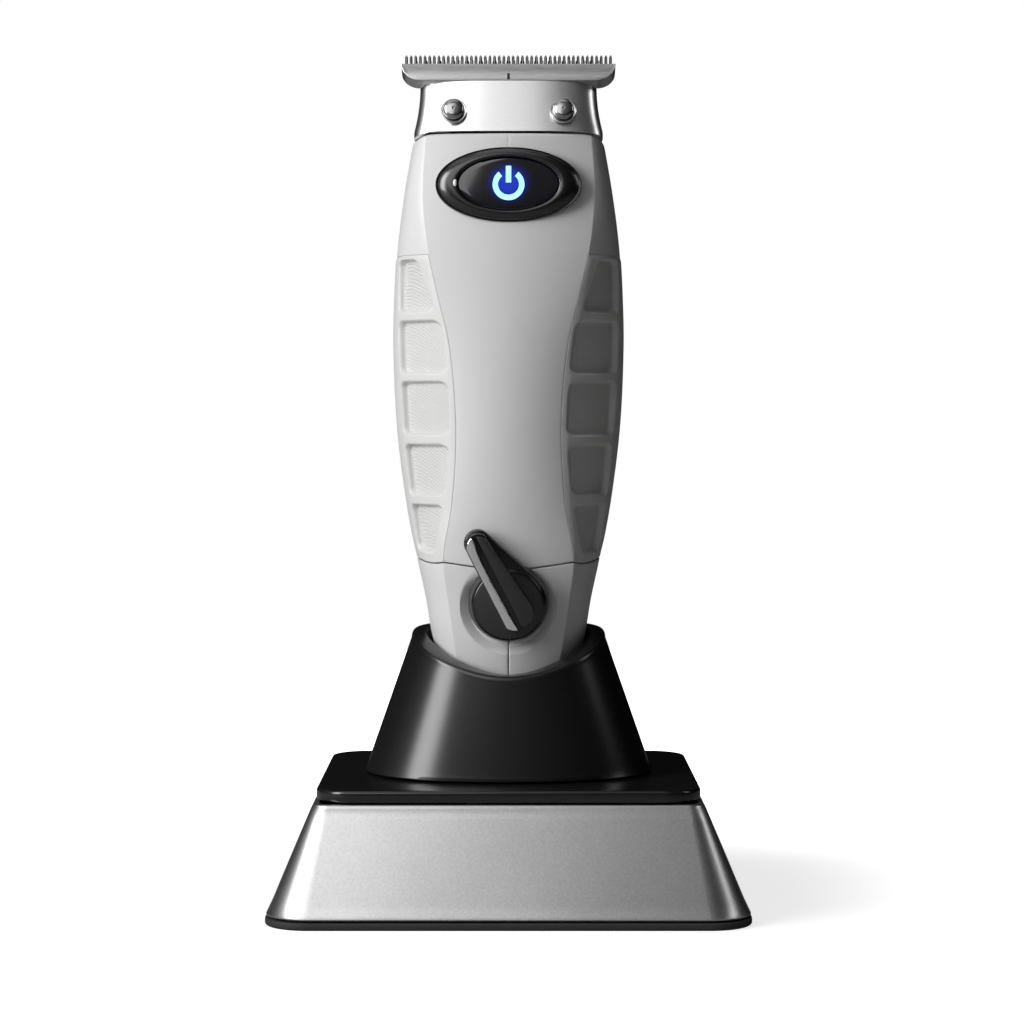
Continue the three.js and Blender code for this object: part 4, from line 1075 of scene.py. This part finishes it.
def fixed_teeth():
    """The teeth of the T blade."""
    return comb(FIXED_PITCH, HEAD_HALF_WIDTH - 0.3, 0.62, HEAD_ROOT - 0.4, HEAD_TIP,
                (0.2, 0.6), (2.2, 1.7), 0.22)


def moving_blade():
    """The cutter behind the T blade: its tongue, its bar and its teeth."""
    front = HEAD_THICKNESS + GAP
    back = front + 1.7
    tip = HEAD_TIP - 0.3
    half = CUTTER_HALF_WIDTH
    root = tip - 2.2
    right = ((7, 2.6), (7, 10.4), (half - 1.6, 10.8), (half, 12.2), (half, root))
    plate = slab([*((-x, z) for x, z in reversed(right)), *right], front, back, 0.15, 2)
    teeth = comb(CUTTER_PITCH, half - 0.4, 0.95, root - 0.3, tip,
                 (front, front + 0.02), (back, front + 0.55), 0.5)
    return joined(plate, teeth)


def dome_screw():
    """A domed screw head on its shank, with a small recess."""
    return turned((
        (0, -6.5), (0.95, -6.5), (0.95, 0.25), (1.75, 0.25), (1.95, 0.4), (1.97, 0.75), (1.86, 1.1),
        (1.6, 1.36), (1.2, 1.46), (0.8, 1.5), (0.34, 1.52), (0.26, 1.46), (0.2, 1.3), (0, 1.28),
    ), 40)


def washer():
    return turned((
        (1.3, 0.3), (2.3, 0.3), (2.42, 0.38), (2.42, 0.62), (2.3, 0.72), (1.4, 0.72), (1.3, 0.66),
        (1.3, 0.3),
    ), 40)


def head_cover():
    """The cap over the drive, falling from behind the blade to the back of the body."""
    roof = ((COVER_FRONT, 153.0), (-1.5, 152.7), (2.6, 151.7), (6, 150.3), (9, 148.5), (11, 146.8),
            (COVER_BACK, 145.2))
    level = 144  # where the body's own plan is taken

    def height(y):
        for (y0, z0), (y1, z1) in zip(roof, roof[1:]):
            if y <= y1:
                return z0 + (z1 - z0) * ((y - y0) / (y1 - y0))
        return roof[-1][1]

    def half_width(y):
        if y <= 0:
            return COVER_HALF_WIDTH
        share = last_holding(lambda s: body_point(s, 1, level).y > y + COVER_INSET, 1.0, 2.0, 18)
        return min(COVER_HALF_WIDTH, body_point(share, 1, level).x - COVER_INSET)

    def place(turn, y):
        a = (turn - 0.5) * math.pi
        s, c = math.sin(a), max(0.0, math.cos(a))
        x = half_width(y) * math.copysign(abs(s) ** COVER_ROUNDNESS, s)
        return Vector((x, y, COVER_FOOT + (height(y) - COVER_FOOT) * c**COVER_ROUNDNESS))

    sheet = lattice(spread(1, 0, 60), spread(COVER_FRONT, COVER_BACK, 30), place)
    sheet.normal_update()
    if sum(face.normal.z for face in sheet.faces) < 0:
        bmesh.ops.reverse_faces(sheet, faces=sheet.faces[:])
    cap = thickened(sheet, 1.2)
    for vert in cap.verts:
        vert.co.z = max(vert.co.z, COVER_LOWEST)
    return cap


def make_blades():
    """The blade set with its fixings, and the cap behind it."""
    piece("blade_neck", neck(), "trimmer", "blade_steel", ["fixed_blade"])
    t_blade = moved(joined(head(), fixed_teeth()), BLADE_PLACE)
    piece("t_blade", t_blade, "trimmer", "blade_steel", finish="ground_steel")
    piece("cutter_comb", moved(moving_blade(), BLADE_PLACE), "cutter", "blade_steel", ["moving_blade"])
    tick = slab(((-0.26, 10.0), (0.26, 10.0), (0.22, 11.2), (-0.22, 11.2)), -0.24, 0.1, 0)
    piece("centre_tick", moved(tick, BLADE_PLACE), "trimmer", "blade_steel", finish="dark_mark")
    for name, side in SIDES:
        hole = Matrix.Translation((side * BLADE_SCREW_X, 0, BLADE_SCREW_HEIGHT))
        place = BLADE_PLACE @ hole @ along_front()
        screw = moved(dome_screw(), place @ Matrix.Translation((0, 0, 0.8)))
        piece(f"dome_screw_{name}", screw, "trimmer", "screw_steel", [f"blade_screw_{name}"])
        piece(f"screw_washer_{name}", moved(washer(), place), "trimmer", "washer_chrome",
              [f"blade_washer_{name}"])
    piece("drive_cap", head_cover(), "trimmer", "body_grey", ["rear_head_cover"])


# ---- lit button


def oval_turned(rows):
    """A closed piece of oval sections: each row is its half width, half height and forward stand."""

    def place(angle, i):
        half_x, half_z, out = rows[int(i)]
        return Vector((half_x * math.cos(angle), -out, half_z * math.sin(angle)))

    return outwards(welded(lattice(spread(0, 2 * math.pi, 96), range(len(rows)), place)))


def bezel_rows():
    """A bead at the border, then a face that swells towards the lens and drops to it."""
    steps = ((1.0, -2.4), (1.0, 0.0), (0.99, 0.16), (0.965, 0.26), (0.94, 0.24), (0.92, 0.14),
             (0.9, 0.12), (0.87, 0.26), (0.78, 0.56), (0.66, 0.86), (0.5, 1.13), (0.34, 1.28),
             (0.18, 1.34), (0.08, 1.3), (0.02, 1.18), (0.0, 1.0), (0.0, -2.4))
    rows = []
    for share, out in steps:
        inner = [half + 0.12 for half in BUTTON_HALF]
        rows.append((*(low + (high - low) * share for low, high in zip(inner, BEZEL_HALF)), out))
    return [*rows, rows[0]]


def lens_rows():
    """The lens: a straight wall, a rounded edge and a slightly domed face."""
    half_x, half_z = BUTTON_HALF
    rows = [(0, 0, -1.0), (half_x, half_z, -1.0), (half_x, half_z, 0.3),
            (half_x - 0.08, half_z - 0.08, 0.4)]
    for share in (0.94, 0.85, 0.7, 0.5, 0.3, 0.12, 0.0):
        rows.append((half_x * share, half_z * share, 0.44 + 0.2 * (1 - share**2)))
    return rows


def power_mark():
    """A standard power sign: a ring open at the top, and a bar in the opening."""
    radius, half, drop = 2.45, 0.5, 0.15
    back, front = 0.5, 0.7
    opening = math.radians(38)
    angles = spread(math.pi / 2 + opening, math.pi * 2.5 - opening, 40)
    section = ((half, back), (half, front), (-half, front), (-half, back), (half, back))

    def place(angle, i):
        offset, out = section[int(i)]
        reach = radius + offset
        return Vector((reach * math.cos(angle), -out, reach * math.sin(angle) - drop))

    ring = outwards(welded(lattice(angles, range(len(section)), place)))
    return joined(ring, slab(((-half, 0.2), (half, 0.2), (half, 3.3), (-half, 3.3)), -front, -back, 0))


def make_button():
    """The lit button, its surround and the small light between them."""
    piece("oval_bezel", moved(oval_turned(bezel_rows()), BUTTON_PLACE), "trimmer", "bezel_gloss",
          ["button_bezel"])
    raised = BUTTON_PLACE @ Matrix.Translation((0, -BUTTON_RISE, 0))
    piece("smoked_lens", moved(oval_turned(lens_rows()), raised), "button", "button_gloss",
          ["power_button"])
    piece("power_sign", moved(power_mark(), raised), "button", "light_blue")
    pip = turned(((0, -0.3), (0.34, -0.3), (0.34, 0.95), (0.2, 1.08), (0, 1.12)), 20)
    stretch = Matrix.Diagonal((1, 1, 1.9, 1))
    place = raised @ Matrix.Translation((-BUTTON_HALF[0] - 0.62, 0, 0.1)) @ stretch @ along_front()
    piece("ready_light", moved(pip, place), "trimmer", "light_blue", finish="pip_light")


# ---- rotary switch


def knob_drum():
    """The round of the switch, its side wall drawn in towards the face."""
    r = KNOB_RADIUS
    profile = ((0, -1.1), (r, -1.1), (r + 0.1, -0.4), (r + 0.1, 0.5), (r, 1.0), (6.9, 2.5), (6.65, 3.05),
               (6.4, 3.25), (6.1, 3.3), (0, 3.3))
    return moved(turned(profile, 120), along_front())


def arc(radius, start, end, steps=10, reach=0.0):
    """Points round a circle whose centre is up the lever by a reach."""
    angles = [math.radians(a) for a in spread(start, end, steps)]
    return [(radius * math.cos(a), reach + radius * math.sin(a)) for a in angles]


def knob_inlay():
    """The satin half-round beside the lever."""
    return slab(arc(6.2, 108, 262, 40), -3.42, -3.1, 0.1, 2)


def lever_skirt():
    """The teardrop plate under the lever, tangent to the round."""
    lean = math.degrees(math.asin((KNOB_RADIUS - LEVER_TIP_RADIUS) / LEVER_REACH))
    outline = [*arc(LEVER_TIP_RADIUS, 178, lean + 4, 18, LEVER_REACH), (3.6, 10.4), (5.0, 6.9),
               (6.1, 4.0), *arc(7.2, 25, -40, 12), (0, -5.5), (-2.55, -2)]
    return slab(outline, -2.5, -0.9, 0.4)


def lever_face():
    """The flat satin face of the lever, wider towards its chamfered lower end."""
    outline = [(0.5, -4.1), (0.66, -0.7), (0.6, 5), (0.5, 10.6), *arc(2.0, 74, 10, 8, 12.5), (2.55, 9),
               (3.25, 4), (3.95, -1.2), (4.02, -2.3), (3.75, -3.3), (3.1, -4.1), (2.2, -4.6),
               (1.1, -4.75)]
    return slab(outline, -4.7, -1.6, 0.35)


def lever_rib():
    """The black rib that carries the bright strip and the groove beside it."""
    outline = [(-2.3, -3.6), (-2.25, 8), *arc(2.3, 172, 30, 14, 12.7), (1.9, 9), (1.2, -4.6),
               (-1.2, -4.9)]
    return slab(outline, -3.7, -1.6, 0.25, 2)


def chrome_strip():
    """The rounded bright strip along the lever's left side."""
    outline = [(-2.15, -3.4), (-2.1, 6), *arc(2.08, 176, 100, 10, 12.7), (-0.3, 13.6), (-0.62, 11),
               (-0.75, 6), (-0.6, 0), (-0.25, -4.3), (-0.4, -4.75), (-1.35, -4.3)]
    return slab(outline, -4.95, -3.4, 0.68, 7)


def index_line():
    """A fine raised line down the wall of the round, below its middle."""
    upper, lower = ((-0.95, -6.4), (-3.5, -5.3)), ((-0.95, -7.62), (-3.5, -6.75))  # back, then front
    line = bmesh.new()
    for vert in bmesh.ops.create_cube(line, size=1)["verts"]:
        y, z = (lower if vert.co.z < 0 else upper)[vert.co.y < 0]
        vert.co = Vector((0.2 + vert.co.x * 0.24, y, z))
    bmesh.ops.recalc_face_normals(line, faces=line.faces[:])
    return line


def make_switch():
    """The rotary switch, in its separate finishes."""
    for name, made, place, slot, replaces, finish in (
        ("switch_drum", knob_drum(), LEVER_PLACE, "knob_black", ["switch_knob"], None),
        ("switch_inlay", knob_inlay(), LEVER_PLACE, "knob_black", (), "knob_satin"),
        ("index_line", index_line(), SWITCH_PLACE, "knob_black", (), "knob_satin"),
        ("switch_skirt", lever_skirt(), LEVER_PLACE, "knob_black", (), None),
        ("lever_rib", lever_rib(), LEVER_PLACE, "knob_black", (), None),
        ("lever_face", lever_face(), LEVER_PLACE, "knob_black", (), "knob_satin"),
        ("lever_strip", chrome_strip(), LEVER_PLACE, "lever_chrome", ["lever_trim"], None),
    ):
        piece(name, moved(made, place), "switch", slot, replaces, finish)


# ---- inner pieces that keep their solids


def finish_kept_nodes():
    """Each piece of the frame that nothing replaces gets its slot's finish."""
    slots = {part["node"]: part["material_slot"] for part in frame["record"]["subparts"]}
    for name, node in frame["nodes"].items():
        node.data.materials.clear()
        node.data.materials.append(FINISHES[slots[name]])


# ---- stage, lights and camera


def area_light(name, place, aim, size, power, on_matt):
    """A rectangular light; without on_matt it shows only in reflections."""
    lamp = bpy.data.lights.new(name, "AREA")
    lamp.shape = "RECTANGLE"
    lamp.size, lamp.size_y = size
    lamp.energy = power
    holder = set_out(name, lamp)
    holder.location = place
    holder.rotation_euler = (Vector(aim) - Vector(place)).to_track_quat("-Z", "Y").to_euler()
    holder.visible_diffuse = on_matt


def make_floor():
    """A white sweep that stays white to the eye at its far edge, and throws little light back."""
    bm = bmesh.new()
    bmesh.ops.create_grid(bm, x_segments=8, y_segments=8, size=0.55)
    mesh = bpy.data.meshes.new("floor")
    bm.to_mesh(mesh)
    bm.free()
    floor = set_out("floor", mesh)
    paint = Paint("floor_white", 0.4, 0.9, Specular_IOR_Level=0.0)
    place = paint.place()
    paint.feed(Base_Color=paint.toned(paint.noise(place, 3, 2), 0.9875, 1.0125))
    to_camera = paint.make("ShaderNodeLightPath")
    x, y, _ = paint.axes(place)
    reach = (x * x + y * y) ** 0.5
    lift = (0.75 + 1.2 * paint.step(reach, 0.055, 0.17)) * to_camera
    glow = paint.make("ShaderNodeEmission", sockets={"Color": (1, 1, 1, 1), "Strength": lift})
    surface = Value(paint, paint.shader.outputs[0])
    both = paint.make("ShaderNodeAddShader", sockets={0: surface, 1: glow})
    paint.join(paint.tree.nodes["Material Output"].inputs["Surface"], both)
    mesh.materials.append(FINISHES["floor_white"])


def make_world():
    """White to the eye; to the object, a soft studio that is brighter on the left and dark below."""
    world = bpy.data.worlds.new("studio")
    bpy.context.scene.world = world
    world.use_nodes = True
    world.node_tree.nodes.clear()
    studio = NodeBuilder(world.node_tree)
    x, y, z = studio.axes(studio.make("ShaderNodeTexCoord"))
    across = studio.step(x, 0.7, -0.9, 0.03, 0.34)
    above = studio.step(z, -0.15, 0.5, 0.3, 1.0)
    ahead = studio.step(y, 0.5, -0.2, 0.06, 1.0)
    cast = studio.make("ShaderNodeBackground", sockets={0: across * above * ahead})
    seen = studio.make("ShaderNodeBackground", sockets={0: (1, 1, 1, 1)})
    to_camera = studio.make("ShaderNodeLightPath")
    mixed = studio.make("ShaderNodeMixShader", sockets={0: to_camera, 1: cast, 2: seen})
    studio.make("ShaderNodeOutputWorld", sockets={0: mixed})


def make_studio():
    """Floor, surroundings, lights and camera, all in metres."""
    make_floor()
    make_world()
    area_light("key_softbox", (-0.50, -0.315, 0.32), (0, 0, 0.09), (0.26, 0.5), 4.8, True)
    area_light("front_panel", (-0.19, -0.50, 0.42), (0, 0, 0.09), (0.34, 0.4), 0.92, False)
    area_light("top_softbox", (-0.1, -0.05, 0.62), (0, 0, 0), (0.5, 0.4), 0.5, True)
    area_light("right_edge", (0.5, -0.05, 0.34), (0, 0, 0.05), (0.12, 0.26), 0.26, False)
    camera = bpy.data.cameras.new("view")
    camera.lens = 101.4
    camera.shift_x = 0.0034
    camera.clip_start, camera.clip_end = 0.01, 20
    downward_tilt = 2.186
    holder = set_out("view", camera)
    holder.location = (0, -0.552, 0.0946)
    holder.rotation_euler = (math.radians(90 - downward_tilt), 0, 0)
    bpy.context.scene.camera = holder
    bpy.context.scene.view_settings.view_transform = "Standard"


make_studio()
finish_kept_nodes()
make_stand()
make_body()
make_blades()
make_button()
make_switch()
